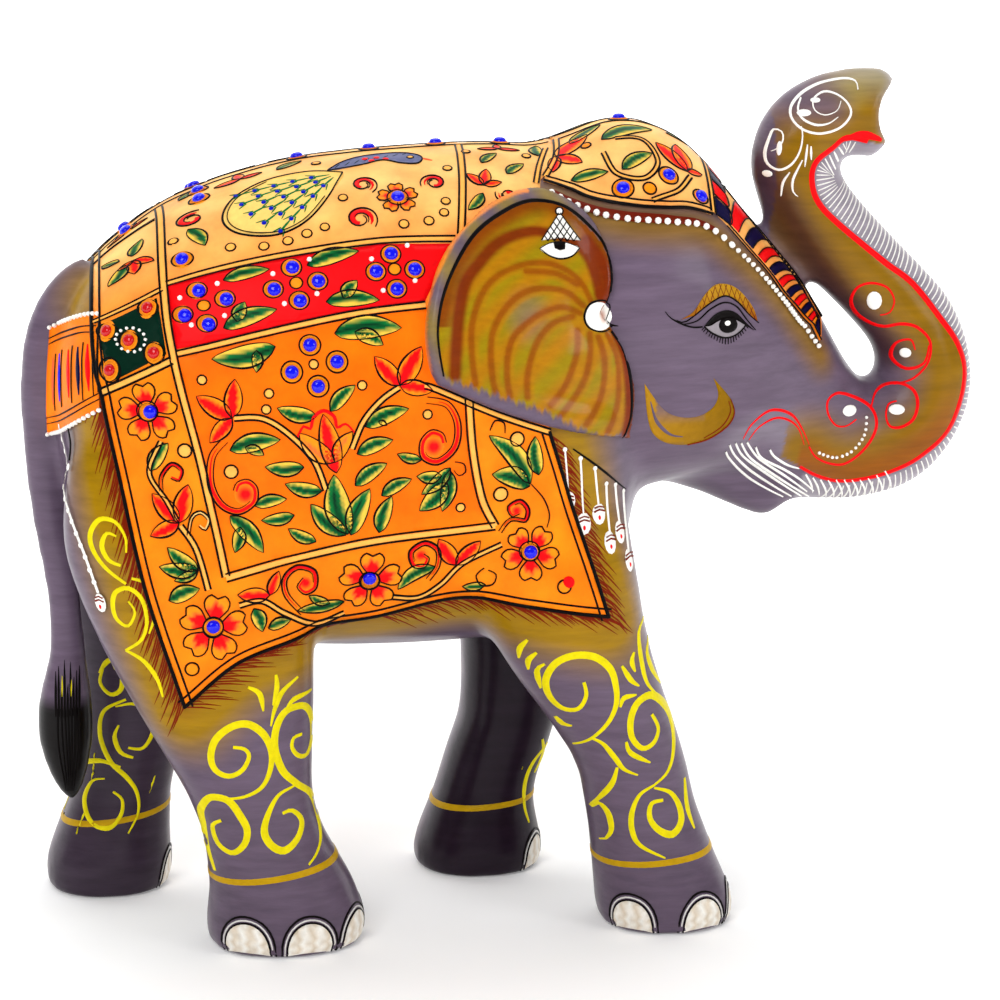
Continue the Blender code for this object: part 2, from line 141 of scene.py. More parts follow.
def principled(name, roughness, coat=0.0, specular=0.25, coat_roughness=0.12):
    made = bpy.data.materials.new(name)
    made.use_nodes = True
    shader = made.node_tree.nodes["Principled BSDF"]
    set_inputs(shader, {"Roughness": roughness, "Specular IOR Level": specular})
    set_inputs(shader, {"Coat Weight": coat, "Coat Roughness": coat_roughness})
    return made, made.node_tree, shader


def painted(name, roughness, coat, streak_scale, streak_depth, bump, specular=0.06):
    """Brushed paint: the mesh's own colours, streaked and mottled by noise, with a fine brushed bump."""
    made, tree, shader = principled(name, roughness, coat, specular)
    colour = node(tree, "VertexColor")
    colour.layer_name = "paint"
    place = node(tree, "NewGeometry")
    stretch = node(tree, "Mapping", {"Scale": streak_scale})
    streaks = node(tree, "TexNoise", {"Scale": 1.0, "Detail": 6.0, "Roughness": 0.62})
    shades = {"To Min": 1 - streak_depth, "To Max": 1 + streak_depth}
    level = node(tree, "MapRange", {"From Min": 0.3, "From Max": 0.7, **shades})
    shade = node(tree, "VectorMath")
    shade.operation = "SCALE"
    raised = node(tree, "Bump", {"Strength": bump, "Distance": 0.0004})
    wire(
        tree,
        (place, "Position", stretch, "Vector"),
        (stretch, "Vector", streaks, "Vector"),
        (streaks, "Fac", level, "Value"),
        (colour, "Color", shade, 0),
        (level, "Result", shade, "Scale"),
        (shade, "Vector", shader, "Base Color"),
        (streaks, "Fac", raised, "Height"),
        (raised, "Normal", shader, "Normal"),
    )
    return made


def glass(name, colour):
    made, _, shader = principled(name, 0.08, coat=0.15, specular=0.3, coat_roughness=0.03)
    set_inputs(shader, {"Base Color": (*colour, 1)})
    return made


# ---- the wooden skin ----


def in_scene(name, data):
    obj = bpy.data.objects.new(name, data)
    bpy.context.scene.collection.objects.link(obj)
    return obj


def mesh_object(name, points, faces, look=None, colours=None):
    """A mesh object from points in metres, with a colour for each point."""
    mesh = bpy.data.meshes.new(name)
    mesh.from_pydata([tuple(p) for p in points], [], faces)
    if colours is not None:
        colour_points(mesh, colours)
    if look is not None:
        mesh.materials.append(look)
    mesh.shade_smooth()
    return in_scene(name, mesh)


def colour_points(mesh, colours):
    """Give each point of a mesh its colour."""
    layer = mesh.color_attributes.new("paint", "FLOAT_COLOR", "POINT")
    flat = np.ones((len(colours), 4), np.float32)
    flat[:, :3] = colours
    layer.data.foreach_set("color", flat.ravel())


def rows_of(mesh, key="co"):
    """A row of three numbers for each point of a mesh, its place or another key."""
    flat = np.zeros(len(mesh.vertices) * 3, np.float32)
    mesh.vertices.foreach_get(key, flat)
    return flat.reshape(-1, 3).astype(float)


def largest_shell(mesh):
    """Take away every loose part but the largest, such as the walls of the peg holes."""
    work = bmesh.new()
    work.from_mesh(mesh)
    work.verts.ensure_lookup_table()
    seen = set()
    parts = []
    for seed in work.verts:
        if seed.index in seen:
            continue
        part, edge = [seed], [seed]
        seen.add(seed.index)
        while edge:
            vertex = edge.pop()
            for link in vertex.link_edges:
                other = link.other_vert(vertex)
                if other.index not in seen:
                    seen.add(other.index)
                    part.append(other)
                    edge.append(other)
        parts.append(part)
    parts.sort(key=len)
    bmesh.ops.delete(work, geom=[v for part in parts[:-1] for v in part], context="VERTS")
    work.to_mesh(mesh)
    work.free()


def wooden_skin(voxel=1.15, grow=0.25, smoothing=22):
    """One closed skin over all the wooden blocks, since gesso and paint cover their glue lines.

    The size of its voxels and how far it grows past the wood are in millimetres.
    """
    work = bmesh.new()
    for name in WOOD:
        work.from_mesh(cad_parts[name].data)
    bmesh.ops.remove_doubles(work, verts=work.verts, dist=1e-6)
    work.normal_update()
    moves = [v.normal * grow * MM for v in work.verts]
    for vertex, move in zip(work.verts, moves):
        vertex.co += move
    mesh = bpy.data.meshes.new("skin")
    work.to_mesh(mesh)
    work.free()
    skin = in_scene("painted_skin", mesh)
    remesh = skin.modifiers.new("remesh", "REMESH")
    remesh.mode = "VOXEL"
    remesh.voxel_size = voxel * MM
    smooth = skin.modifiers.new("smooth", "SMOOTH")
    smooth.factor = 0.5
    smooth.iterations = smoothing
    depsgraph = bpy.context.evaluated_depsgraph_get()
    skin.data = bpy.data.meshes.new_from_object(skin.evaluated_get(depsgraph))
    skin.modifiers.clear()
    largest_shell(skin.data)
    for vertex in skin.data.vertices:
        vertex.co.z = max(vertex.co.z, 0.0)
    skin.data.shade_smooth()
    return skin


class Canvas:
    """The surfaces that paint is laid on."""

    def __init__(self, objects):
        points, faces = [], []
        for obj in objects:
            base = len(points)
            points += [v.co.copy() for v in obj.data.vertices]
            faces += [[i + base for i in face.vertices] for face in obj.data.polygons]
        self.tree = BVHTree.FromPolygons(points, faces)

    def cast(self, start, way):
        """The point and the normal where a ray from start, in millimetres, meets the surface."""
        place, normal = self.tree.ray_cast(start * MM, way)[:2]
        if place is None:
            place, normal = self.tree.find_nearest((start + way * REACH) * MM)[:2]
        return place, normal

    def near(self, point):
        """The nearest point of the surface to a point in millimetres."""
        return self.tree.find_nearest(point * MM)[:2]


def wrapped(canvas, side):
    """A chart of the body's side: x along it, v up from the axis height and over the back."""

    def place(x, v):
        if v <= 0:
            return canvas.cast(Vector((x, side * REACH, AXIS_Z + v)), Vector((0, -side, 0)))
        out = Vector((0, side * math.cos(v / WRAP), math.sin(v / WRAP)))
        return canvas.cast(Vector((x, 0, AXIS_Z)) + out * REACH, -out)

    place.flip = side > 0
    return place


def through(points, step=0.8, closed=False):
    """Points about step apart on a smooth curve through the given ones."""
    rows = np.array(points, float)
    count = len(rows)
    if count < 3 and not closed:
        n = max(2, int(np.linalg.norm(rows[1] - rows[0]) / step) + 1)
        return [rows[0] + (rows[1] - rows[0]) * k / (n - 1) for k in range(n)]
    found = []
    for i in range(count if closed else count - 1):
        near = [i - 1, i, i + 1, i + 2]
        a, b, c, d = (rows[k % count if closed else min(max(k, 0), count - 1)] for k in near)
        n = max(1, round(np.linalg.norm(c - b) / step))
        for k in range(n):
            t = k / n
            bend, twist = 2 * a - 5 * b + 4 * c - d, 3 * b - a - 3 * c + d
            found.append(0.5 * (2 * b + (c - a) * t + bend * t**2 + twist * t**3))
    if not closed:
        found.append(rows[-1])
    return found


def corners(*runs, step=0.8):
    """A closed outline of smooth runs that meet at corners."""
    line = []
    for run in runs:
        line += through(run, step)[:-1]
    return line


class Paint:
    """Raised paint laid at a level in millimetres above the wood, gathered into one mesh."""

    def __init__(self, level=0.0):
        self.level = level
        self.points, self.faces, self.colours = [], [], []

    def add(self, points, faces, colours, flip=False):
        base = len(self.points)
        self.points += points
        self.colours += colours
        self.faces += [[i + base for i in (face[::-1] if flip else face)] for face in faces]

    def fill(self, chart, outline, colour, height=0.1, spacing=1.2, sink=0.3):
        """A closed outline filled with paint; colour is one colour or a function of the places."""
        edge = np.array([tuple(p)[:2] for p in outline], float)
        low, high = edge.min(0), edge.max(0)
        rows = max(int((high[1] - low[1]) / spacing), 1)
        columns = max(int((high[0] - low[0]) / spacing), 1) + 1
        r, c = np.meshgrid(np.arange(rows), np.arange(columns), indexing="ij")
        u, v = low[0] + (c + 0.5 * (r % 2)) * spacing, low[1] + (r + 0.5) * spacing
        grid = np.stack([u, v], -1).reshape(-1, 2)
        grid = grid[within(grid, edge)]
        if len(grid):
            grid = grid[distance_to(grid, edge) > 0.45 * spacing]
        count = len(edge)
        places = [Vector(p) for p in edge] + [Vector(p) for p in grid]
        ring = [(k, (k + 1) % count) for k in range(count)]
        flat, _, faces, _, _, _ = delaunay_2d_cdt(places, ring, [], 1, 1e-5)
        points = []
        for at in flat:
            place, normal = chart(at.x, at.y)
            points.append(place + normal * (self.level + height) * MM)
        u, v = np.array(flat).T
        colours = list(colour(u, v)) if callable(colour) else [colour] * len(points)
        faces = [list(face) for face in faces]
        if sink:
            base = len(points)
            for k in range(count):
                place, normal = chart(*edge[k])
                points.append(place + normal * (self.level - sink) * MM)
                colours.append(colours[k])
            for k in range(count):
                after = (k + 1) % count
                faces.append([k, base + k, base + after, after])
        self.add(points, faces, colours, chart.flip)

    def stroke(self, chart, line, width, colour, height=0.15, taper=(1.0, 1.0), step=0.8, smooth=True):
        """A raised line of paint; taper is its relative width at its start and its end."""
        line = np.array(through(line, step) if smooth else line, float)
        count = len(line)
        across = leftward(line)
        points, faces, colours = [], [], []
        for k in range(count):
            t = k / max(count - 1, 1)
            start = taper[0] + (1 - taper[0]) * min(1, 2.5 * t)
            end = taper[1] + (1 - taper[1]) * min(1, 2.5 * (1 - t))
            half = width / 2 * min(start, end)
            for share, high in ((1, -0.1), (0.6, height), (-0.6, height), (-1, -0.1)):
                place, normal = chart(*(line[k] + across[k] * (half * share)))
                points.append(place + normal * (self.level + high) * MM)
                colours.append(colour)
            if k:
                a, b = 4 * (k - 1), 4 * k
                faces += [[b + i, a + i, a + i + 1, b + i + 1] for i in range(3)]
        self.add(points, faces, colours, chart.flip)

    def loop(self, chart, outline, width, colour, height=0.15, step=0.8):
        """A raised line round a closed outline."""
        line = through(list(outline), step, closed=True)
        self.stroke(chart, line + line[:2], width, colour, height, smooth=False)

    def dome(self, chart, at, radius, colour, height=0.6, segments=10, stretch=(1.0, 1.0), flat_top=0.0):
        """A round or oval dome of paint or glass; flat_top is the share of its radius that is flat."""
        place, normal = chart(*at)
        upright = Vector((0, 0, 1)) if abs(normal.z) < 0.9 else Vector((0, 1, 0))
        across = normal.cross(upright).normalized()
        up = across.cross(normal)
        rings = [(1.0, -0.3), (1.0, 0.0), (0.93, 0.42), (0.74, 0.75), (0.42 + flat_top / 2, 0.95)]
        points, faces = [], []
        for relative, high in rings:
            centre = place + normal * (self.level + high * height) * MM
            for k in range(segments):
                angle = 2 * math.pi * k / segments
                out = across * math.cos(angle) * stretch[0] + up * math.sin(angle) * stretch[1]
                points.append(centre + out * radius * relative * MM)
        points.append(place + normal * (self.level + height) * MM)
        for r in range(len(rings) - 1):
            for k in range(segments):
                after = (k + 1) % segments
                low, high = r * segments, (r + 1) * segments
                faces.append([low + k, high + k, high + after, low + after][::-1])
        top, low = len(points) - 1, (len(rings) - 1) * segments
        faces += [[low + k, low + (k + 1) % segments, top] for k in range(segments)]
        self.add(points, faces, [colour] * len(points))

    def piece(self, name, look, slot):
        made = mesh_object(name, self.points, self.faces, look, np.array(self.colours, np.float32))
        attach(made, "root")
        return made


def within(places, edge):
    """Which places lie inside a closed outline."""
    inside = np.zeros(len(places), bool)
    for a, b in zip(edge, np.roll(edge, -1, 0)):
        if a[1] == b[1]:
            continue
        beside_it = (a[1] > places[:, 1]) != (b[1] > places[:, 1])
        cross = (b[0] - a[0]) * (places[:, 1] - a[1]) / (b[1] - a[1]) + a[0]
        inside ^= beside_it & (places[:, 0] < cross)
    return inside


def distance_to(places, line):
    """The distance from each place to the nearest point of a line."""
    best = np.full(len(places), 1e18)
    for point in np.asarray(line):
        best = np.minimum(best, ((places - point) ** 2).sum(1))
    return np.sqrt(best)


def soft(weight):
    """A weight eased between 0 and 1."""
    weight = np.clip(weight, 0, 1)
    return weight * weight * (3 - 2 * weight)


def headings(line):
    """The unit way along a line at each of its points."""
    along = np.gradient(line, axis=0)
    return along / np.maximum(np.linalg.norm(along, axis=1), 1e-9)[:, None]


def leftward(line):
    """The unit way to a line's left at each of its points."""
    along = headings(line)
    return np.stack([-along[:, 1], along[:, 0]], -1)


def gone_along(line):
    """The distance gone along a line at each of its points."""
    return np.concatenate([[0], np.cumsum(np.linalg.norm(np.diff(line, axis=0), axis=1))])


def beside(line, offset):
    """The line moved sideways, to its left for a positive offset."""
    line = np.array(line, float)
    return line + leftward(line) * offset


def mid(a, b, t=0.5):
    return a[0] + (b[0] - a[0]) * t, a[1] + (b[1] - a[1]) * t


def straight(points, step=1.2):
    """The sides of a polygon as one outline."""
    return corners(*[[a, b] for a, b in zip(points, points[1:] + points[:1])], step=step)


def circle(at, radius, count=14, squash=1.0):
    turns = (2 * math.pi * k / count for k in range(count))
    return [(at[0] + radius * math.cos(a), at[1] + radius * squash * math.sin(a)) for a in turns]


class Pattern:
    """Motifs laid through one chart: colours, and black lines over them."""

    def __init__(self, chart, level, line_width=0.5):
        self.chart, self.line_width = chart, line_width
        self.tint, self.ink = Paint(level), Paint(level + 0.1)
        self.gems = {}

    def line(self, points, width=None, colour=BLACK, taper=(0.6, 0.4)):
        self.inked(points, width or self.line_width, colour, taper=taper)

    def inked(self, *stroke, **kind):
        self.ink.stroke(self.chart, *stroke, **kind)

    def tinted(self, *stroke, **kind):
        self.tint.stroke(self.chart, *stroke, **kind)

    def dot(self, *dome, **kind):
        self.ink.dome(self.chart, *dome, **kind)

    def boss(self, *dome, **kind):
        self.tint.dome(self.chart, *dome, **kind)

    def fill(self, *area, **kind):
        self.tint.fill(self.chart, *area, **kind)

    def blot(self, *area, **kind):
        self.ink.fill(self.chart, *area, **kind)

    def brush(self, points, width, colour, taper=(0.2, 0.2)):
        self.tinted(points, width, colour, taper=taper)

    def double(self, points, gap, between=LINE_GOLD, width=None):
        """Two black lines with paler gold between them."""
        middle = through(points)
        self.tinted(middle, gap * 0.8, between, 0.12, smooth=False)
        for way in (-0.5, 0.5):
            self.inked(beside(middle, way * gap), width or self.line_width, BLACK, smooth=False)

    def ring(self, at, radius, fill=LINE_GOLD, squash=1.0):
        """A small gold boss in a black circle."""
        self.boss(at, radius * 0.92, fill, 0.3, 10, (1, squash))
        self.ink.loop(self.chart, circle(at, radius, 10, squash), self.line_width * 0.8, BLACK, step=0.6)

    def leaf(self, base, tip, plump=0.42, heart=PINE, body=GREEN, rim=LEAF_RIM, bend=0.06):
        """A pointed leaf or petal: a brushed heart fading to its rim, one side of its outline heavier."""
        base, tip = Vector(base), Vector(tip)
        length = (tip - base).length
        along = (tip - base) / length
        across = Vector((-along.y, along.x))

        def edge(t, way):
            half = plump * length / 2 * math.sin(math.pi * t**0.85) ** 0.75
            aside = bend * length * math.sin(math.pi * t) + way * half
            return base + along * t * length + across * aside

        def colour(u, v):
            u, v = u - base.x, v - base.y
            t = (u * along.x + v * along.y) / length
            s = u * across.x + v * across.y - bend * length * np.sin(math.pi * np.clip(t, 0, 1))
            s /= plump * length / 2
            deep = 1.05 - 1.5 * abs(s - 0.1) - 2.0 * np.maximum(t - 0.66, 0)
            deep = deep - 0.5 * np.maximum(0.15 - t, 0) + 0.12 * np.sin(9 * t + 17 * s)
            return mix(rim, mix(body, heart, 1.6 * deep - 0.7), 2.4 * deep)

        steps = max(5, round(length / 1.2))
        upper = [edge(k / steps, 1) for k in range(steps + 1)]
        lower = [edge(k / steps, -1) for k in range(steps + 1)]
        self.fill(upper + lower[-2:0:-1], colour, 0.1, 0.55)
        self.line(upper, self.line_width * 1.15)
        self.line(lower, self.line_width * 0.7)

    def petal(self, base, tip, plump=0.46):
        self.leaf(base, tip, plump, RED, RED, GOLD, 0.0)

    def leaves(self, plump, *ends):
        for base, tip in ends:
            self.leaf(base, tip, plump)

    def rings(self, radius, *places):
        for at in places:
            self.ring(at, radius)

    def trefoil(self, base, *tips):
        for tip in tips:
            self.petal(base, tip)

    def flower(self, at, radius, turn=0.0, petals=5):
        """A flower of notched petals, red at the heart, round a stone's place."""
        half_petal = [(0.3, -0.13), (0.58, -0.34), (0.82, -0.36), (0.98, -0.2), (0.88, 0.0)]
        whole = half_petal + [(r, -s) for r, s in half_petal[-2::-1]]
        for k in range(petals):
            angle = math.radians(turn) + 2 * math.pi * k / petals
            along = Vector((math.cos(angle), math.sin(angle))) * radius
            across = Vector((-along.y, along.x))
            outline = [Vector(at) + along * r + across * s for r, s in whole]

            def colour(u, v):
                u, v = (u - at[0]) / radius**2, (v - at[1]) / radius**2
                r, s = u * along.x + v * along.y, u * across.x + v * across.y
                red = 1.25 - 3.2 * np.maximum(r - 0.5, 0) - 3.4 * abs(s) + 0.2 * np.sin(31 * s)
                return mix(GOLD, mix(CORAL, RED, 1.5 * red), 2 * red)

            self.fill(through(outline, 0.9, closed=True), colour, 0.1, 0.6)
            self.line(outline, self.line_width * 0.85, taper=(0.8, 0.8))
        self.setting(at, radius * 0.3)

    def setting(self, at, radius, squash=1.0):
        """The gold rim and black circle round a set stone."""
        self.boss(at, radius * 0.95, GOLD, 0.35, 16, (1, squash), 0.8)
        self.ink.loop(self.chart, circle(at, radius, 14, squash), self.line_width * 0.8, BLACK, step=0.6)

    def gem(self, at, radius=1.6, kind="blue"):
        """A set glass stone, kept apart by its kind."""
        stones = self.gems.setdefault(kind, Paint(self.tint.level + 0.35))
        stones.dome(self.chart, at, radius, BLUE, 1.0, 20)

    def scroll(self, points, hand, gap=1.3, tint=RED, ball=None, head=0.0):
        """A curling tendril: a black line, a brushed crescent inside it and a finer inner line.

        It curls to its left for hand 1; a ball is the place of its filled end, head the ball's size.
        """
        outer = through(points)
        count = len(outer)
        inner = beside(outer, hand * gap)[: int(count * 0.72)]
        middle = beside(outer, hand * gap * 0.52)[int(count * 0.08) :]
        self.tinted(middle, gap * 0.72, tint, 0.12, (0.15, 0.7), smooth=False)
        if ball:
            core = np.array(ball)

            def colour(u, v):
                far = np.hypot(u - core[0], v - core[1]) / head
                return mix(tint, GOLD, 1.6 * (far - 0.35))

            self.fill(circle(ball, head * 0.9, 12), colour, 0.08, 0.6)
        self.inked(outer, self.line_width, BLACK, taper=(0.5, 0.5), smooth=False)
        self.inked(inner, self.line_width * 0.7, BLACK, taper=(0.4, 0.3), smooth=False)

    def curl(self, at, radius, start, hand=1):
        """A round red scroll, winding in from its outer end at start degrees."""
        line = []
        for k in range(19):
            angle = math.radians(start + hand * 25 * k)
            reach = radius * (1 - 0.042 * k)
            line.append((at[0] + reach * math.cos(angle), at[1] + reach * math.sin(angle)))
        inner = [mid(p, at, 0.3) for p in line[:13]]
        self.brush(inner, radius * 0.4, RED, (0.1, 0.9))
        self.line(line, 0.5)
        self.line([mid(p, at, 0.5) for p in line[:9]], 0.35)

    def beads(self, points, pitch, radius, colour=WHITE, height=0.7):
        """A row of dots of paint along a line."""
        line = np.array(through(points, 0.25))
        gone = gone_along(line)
        for k in range(int(gone[-1] / pitch) + 1):
            at = line[np.searchsorted(gone, min(k * pitch, gone[-1]))]
            self.dot(at, radius, colour, height, 8)

    def pieces(self, name, side, look, slot="painted_wood"):
        """Make what was drawn into pieces: its colours, its lines and each kind of gem."""
        end = "_" + hand_of(side)
        for part, kind in ((self.tint, "_colours"), (self.ink, "_lines")):
            if part.points:
                part.piece(name + kind + end, look, slot)
        for kind, part in self.gems.items():
            part.piece(name + "_" + kind + "_gems" + end, GLASS[kind], "blue_glass")


def hand_of(side):
    return "right" if side < 0 else "left"


def side_view(canvas, side):
    """A chart of what faces the side: x along the body and z up."""

    def place(x, z):
        return canvas.cast(Vector((x, side * REACH, z - SOLE)), Vector((0, -side, 0)))

    place.flip = side > 0
    return place


# ---- ears ----

EAR_TIP, EAR_NOTCH, EAR_CORNER = (22.4, -23.0), (15.2, 8.8), (-24.6, -7.0)
EAR_RUNS = (
    [EAR_CORNER, (-10.4, -13.6), (4.4, -18.6), EAR_TIP],
    [EAR_TIP, (24.0, -13), (22.4, -5), (18.6, 3.6), EAR_NOTCH],
    [EAR_NOTCH, (18.6, 16), (18.0, 24), (13.8, 35), (4, 42.4), (-6.4, 39.2), (-15.6, 31.8)]
    + [(-22.6, 22.4), (-26, 12.5), (-27.2, 5), (-26.6, -2.5), EAR_CORNER],
)
EAR_CURL = (14.9, 7.9)
EAR_EDGE = 1.2  # how high the ear's edge stands, and next its rim at the back
EAR_RIM = 3.9
EAR_FALL = 1.3  # how much lower the rim is at the front
EAR_ROUND = 1.8  # how far in the rim's rounding reaches
EAR_DISH = 0.7  # the depth of the dish inside the rim
EAR_TOP_LINE = [
    (-23.6, -4.5), (-24.6, 5.6), (-21.9, 15.9), (-14.8, 27.4), (-6.3, 34.2), (1.3, 37.5),
    (8.1, 36.2), (14, 30.1), (17.4, 24.3), (18.2, 17.3), (17.2, 11.5),
]
EAR_LOW_LINE = [(17.8, 4.0), (21.1, -1.5), (23.0, -9.9), (23.2, -17.5), (21.4, -22.6)]
EAR_FOOT_LINE = [(-24, -5.1), (-12, -9.5), (0, -14), (14.7, -21.6)]
BROWN_STRIPES = [
    [
        (15.1, 13.3), (14.7, 17.8), (13, 23.2), (9.9, 26.8), (1.7, 29.4), (-4.4, 28.3),
        (-9.7, 25.4), (-14.4, 20.5), (-17.5, 16), (-19.4, 8.8), (-20.3, 2.1), (-21, -4.6),
    ],
    [(19, 3.4), (21.2, -2.4), (22.1, -9.1), (21.9, -15.8), (20.4, -21.7)],
    [(17.3, 11.5), (17.5, 16.9), (16, 22.3), (13, 27.2)],
]
TAN_STRIPES = [
    [
        (12.5, 11.5), (10.8, 16), (7.3, 19.6), (1.7, 21.4), (-4.4, 20.5), (-10.5, 17.3),
        (-14.4, 12.4), (-16.4, 6.6), (-16.8, -0.1), (-16.2, -6.9),
    ],
    [(9.5, 16), (4.3, 18.7), (-2.7, 19.1)],
    [
        (10.4, 10.6), (6.9, 13.8), (1.7, 14.9), (-3.6, 13.8), (-8.3, 10.2), (-11.4, 5.2),
        (-12.3, -0.1), (-12, -6), (-11.4, -9.1),
    ],
    [(9.5, 8.8), (6, 10.2), (1.7, 9.5), (-2.7, 7), (-6.6, 3.4), (-8.3, -1), (-8.6, -6), (-8.1, -10)],
    [(7.7, 7.9), (3.4, 6.6), (-0.1, 3.4), (-2.3, -0.6), (-3.6, -5.5), (-3.8, -10.5)],
    [(8.8, 4.3), (8.6, -0.1), (7.3, -4.6), (5.1, -9.1), (1.7, -12.7)],
    [(11.7, 3.4), (11.7, -1.5), (10.4, -6.9), (7.7, -11.4), (3.8, -15.4)],
    [(13.8, 2.5), (15.1, -2.4), (15.1, -7.8), (13.8, -12.7), (10.4, -17.6)],
    [(16.4, 3), (18.6, -2.4), (19, -8.2), (18.2, -14.5), (15.6, -19.9)],
]


def ear(canvas, side, look):
    """A raised ear: a round rim, thickest at the back, and a shallow dish inside it."""
    chart = wrapped(canvas, side)
    edge = np.array(corners(*EAR_RUNS, step=0.8))
    rims = KDTree(len(edge))
    for k, at in enumerate(edge):
        rims.insert((*at, 0), k)
    rims.balance()
    shape = Paint()

    def raised(u, v):
        place, normal = chart(u, v)
        deep = rims.find((u, v, 0))[2]
        rim = EAR_RIM - EAR_FALL * min(max((u + 20) / 40, 0), 1)
        round_over = math.sqrt(1 - (1 - min(deep / EAR_ROUND, 1)) ** 2)
        dish = EAR_DISH * (1 - math.cos(math.pi * min(max((deep - 2.5) / 6, 0), 1))) / 2
        return place + normal * (EAR_EDGE + (rim - EAR_EDGE) * round_over - dish) * MM, normal

    raised.flip = chart.flip
    shape.fill(raised, edge, ear_colour, 0.0, 0.5, sink=6.0)
    name = "ear_" + hand_of(side)
    made = shape.piece("painted_" + name, look, "ear_paint")
    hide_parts(name)
    return made


def brushed(places, line, width):
    """How strongly a brushed stripe along a line colours each place."""
    return soft(1.5 - distance_to(places, through(line, 0.4)) / width)


def ear_colour(u, v):
    """Stripes brushed from the curl round the ear, with lilac past its outline and foot."""
    places = np.stack([u, v], -1)
    colours = mix(EAR_OLIVE, EAR_GOLD, 0.5 + 0.5 * np.sin(0.5 * u - 0.6 * v))
    colours = mix(colours, LILAC, 0.45 * soft(1 - np.hypot((u + 3) / 0.8, v - 8) / 9))
    rim = distance_to(places, through(EAR_TOP_LINE, 0.5))
    colours = mix(colours, EAR_BROWN, 0.8 * soft(1 - (rim - 1) / 4.6) * (v > 6))
    low = distance_to(places, through(EAR_LOW_LINE, 0.5))
    colours = mix(colours, EAR_BROWN, 0.9 * soft(1 - low / 4.5) * (u > 12))
    for line in TAN_STRIPES:
        colours = mix(colours, EAR_GOLD, 0.7 * brushed(places, beside(through(line, 0.4), 0.9), 0.9))
        colours = mix(colours, STRIPE_BROWN, 0.85 * brushed(places, line, 0.8))
    for line in BROWN_STRIPES:
        colours = mix(colours, EAR_BROWN, 0.95 * brushed(places, line, 1.5))
    past = [EAR_TOP_LINE[-1], (60, 4), (60, -60), (-23.6, -60), EAR_TOP_LINE[0]]
    outline = np.array(corners(EAR_TOP_LINE, past))
    outside = ~within(places, outline) & (rim > 0.2)
    colours = mix(colours, mix(LILAC, EAR_OLIVE, 0.35 + 0.3 * np.sin(0.5 * u + 0.3 * v)), outside)
    colours = mix(colours, GOLD, 0.7 * soft((rim - 2.2) / 0.6) * outside * (u < 0))
    foot = np.array(EAR_FOOT_LINE)
    past_foot = np.interp(u, foot[:, 0], foot[:, 1]) - v
    past_foot = past_foot + 0.5 * np.sin(2.1 * u) + 0.4 * np.sin(5 * u)
    return mix(colours, LILAC, soft((past_foot + 0.9) / 1.6) * (u < 21))


def ear_pattern(canvas, side, look):
    """The ear's black outline, its white curl and the eye and net painted at its top."""
    drawn = Pattern(wrapped(canvas, side), 0.0)
    drawn.line(EAR_TOP_LINE, 1.0, taper=(0.4, 0.5))
    drawn.line(EAR_LOW_LINE, 0.8, taper=(0.6, 0.4))
    drawn.fill(circle(EAR_CURL, 3.6, 22), curl_colour, 0.1, 0.5)
    sweep = [
        (18.6, 5.2), (15.6, 4), (12.2, 5.2), (11.1, 8), (12.6, 11), (15.6, 11.9), (18, 11),
        (17.6, 8.6), (17, 7),
    ]
    drawn.line(sweep, 0.55)
    drawn.line([(16.8, 7), (18.2, 5.6), (20, 5.2)], 0.6, taper=(1, 0.4))
    eye = [
        (1.2, 24.8), (3.6, 26.2), (6.2, 26.8), (8.8, 26.4), (11, 25.2), (9, 23.2), (6, 22.4),
        (3.2, 23.2),
    ]
    drawn.fill(through(eye, 0.8, closed=True), WHITE, 0.12, 0.8)
    drawn.line(eye[4:] + eye[:1], 0.5)
    drawn.line(eye[:5], 0.35)
    drawn.blot([(4.7, 26.6), (7.7, 26.7), (7.4, 24.9), (6.1, 24.5), (4.9, 25)], BLACK, 0.1, 0.8)
    left, right, top = (1.8, 26.9), (11.4, 27.1), (7, 34.6)
    drawn.fill(straight([left, top, right, (6.6, 27.9)], 0.9), WHITE, 0.1, 0.8)
    for k in range(7):
        foot = mid(left, right, k / 6)
        drawn.line([foot, mid(left, top, k / 6)], 0.3, taper=(1, 1))
        drawn.line([foot, mid(right, top, 1 - k / 6)], 0.3, taper=(1, 1))
    drawn.ring((7, 34.8), 0.9, WHITE)
    drawn.pieces("ear_pattern", side, look, "ear_paint")


def curl_colour(u, v):
    return mix(WHITE, TAN, 0.8 * (1.1 - np.hypot((u - 15.9) / 1.2, (v - 8) / 2.3)))


# ---- the saddle cloth ----

CLOTH_RUNS = (
    [
        (-101.2, RIDGE), (-102.2, 40), (-103.2, 1.8), (-101.7, -9.7), (-99.6, -22), (-93.5, -54),
        (-84.6, -83.4),
    ],
    [
        (-84.6, -83.4), (-71.7, -72.6), (-54.8, -68.2), (-37.9, -65.6), (-19.6, -61), (-2, -62.3),
        (17.4, -65.6),
    ],
    [(17.4, -65.6), (10.2, -43), (2.4, -19)],
    [(2.4, -19), (-4, 10), (2, 35), (4.4, 47.4)],
    [(4.4, 47.4), (8.4, 53), (10.6, 62), (11, RIDGE)],
    [(11, RIDGE), (-101.2, RIDGE)],
)
PANEL = [
    (-85, -1), (-79.6, -26), (-74.4, -51.6), (-59.5, -48.6), (-37.9, -44.2), (-10.4, -41.6),
    (-14.6, -33.5), (-16.4, -22), (-17, -9.8), (-26.7, 11.7), (-44.2, 9.9), (-64.9, 5.8),
    (-84.5, 0.8),
]
BAND_TOP = [(-85.8, 21.8), (-72, 24.6), (-56.7, 26.6), (-36.2, 28.6), (-18.4, 28.4)]
BAND_FOOT = [(-84.5, 0.8), (-64.9, 5.8), (-44.2, 9.9), (-26.7, 11.7)]
CLOTH_LEVEL = 0.55  # how high the gilded gesso stands above the wood


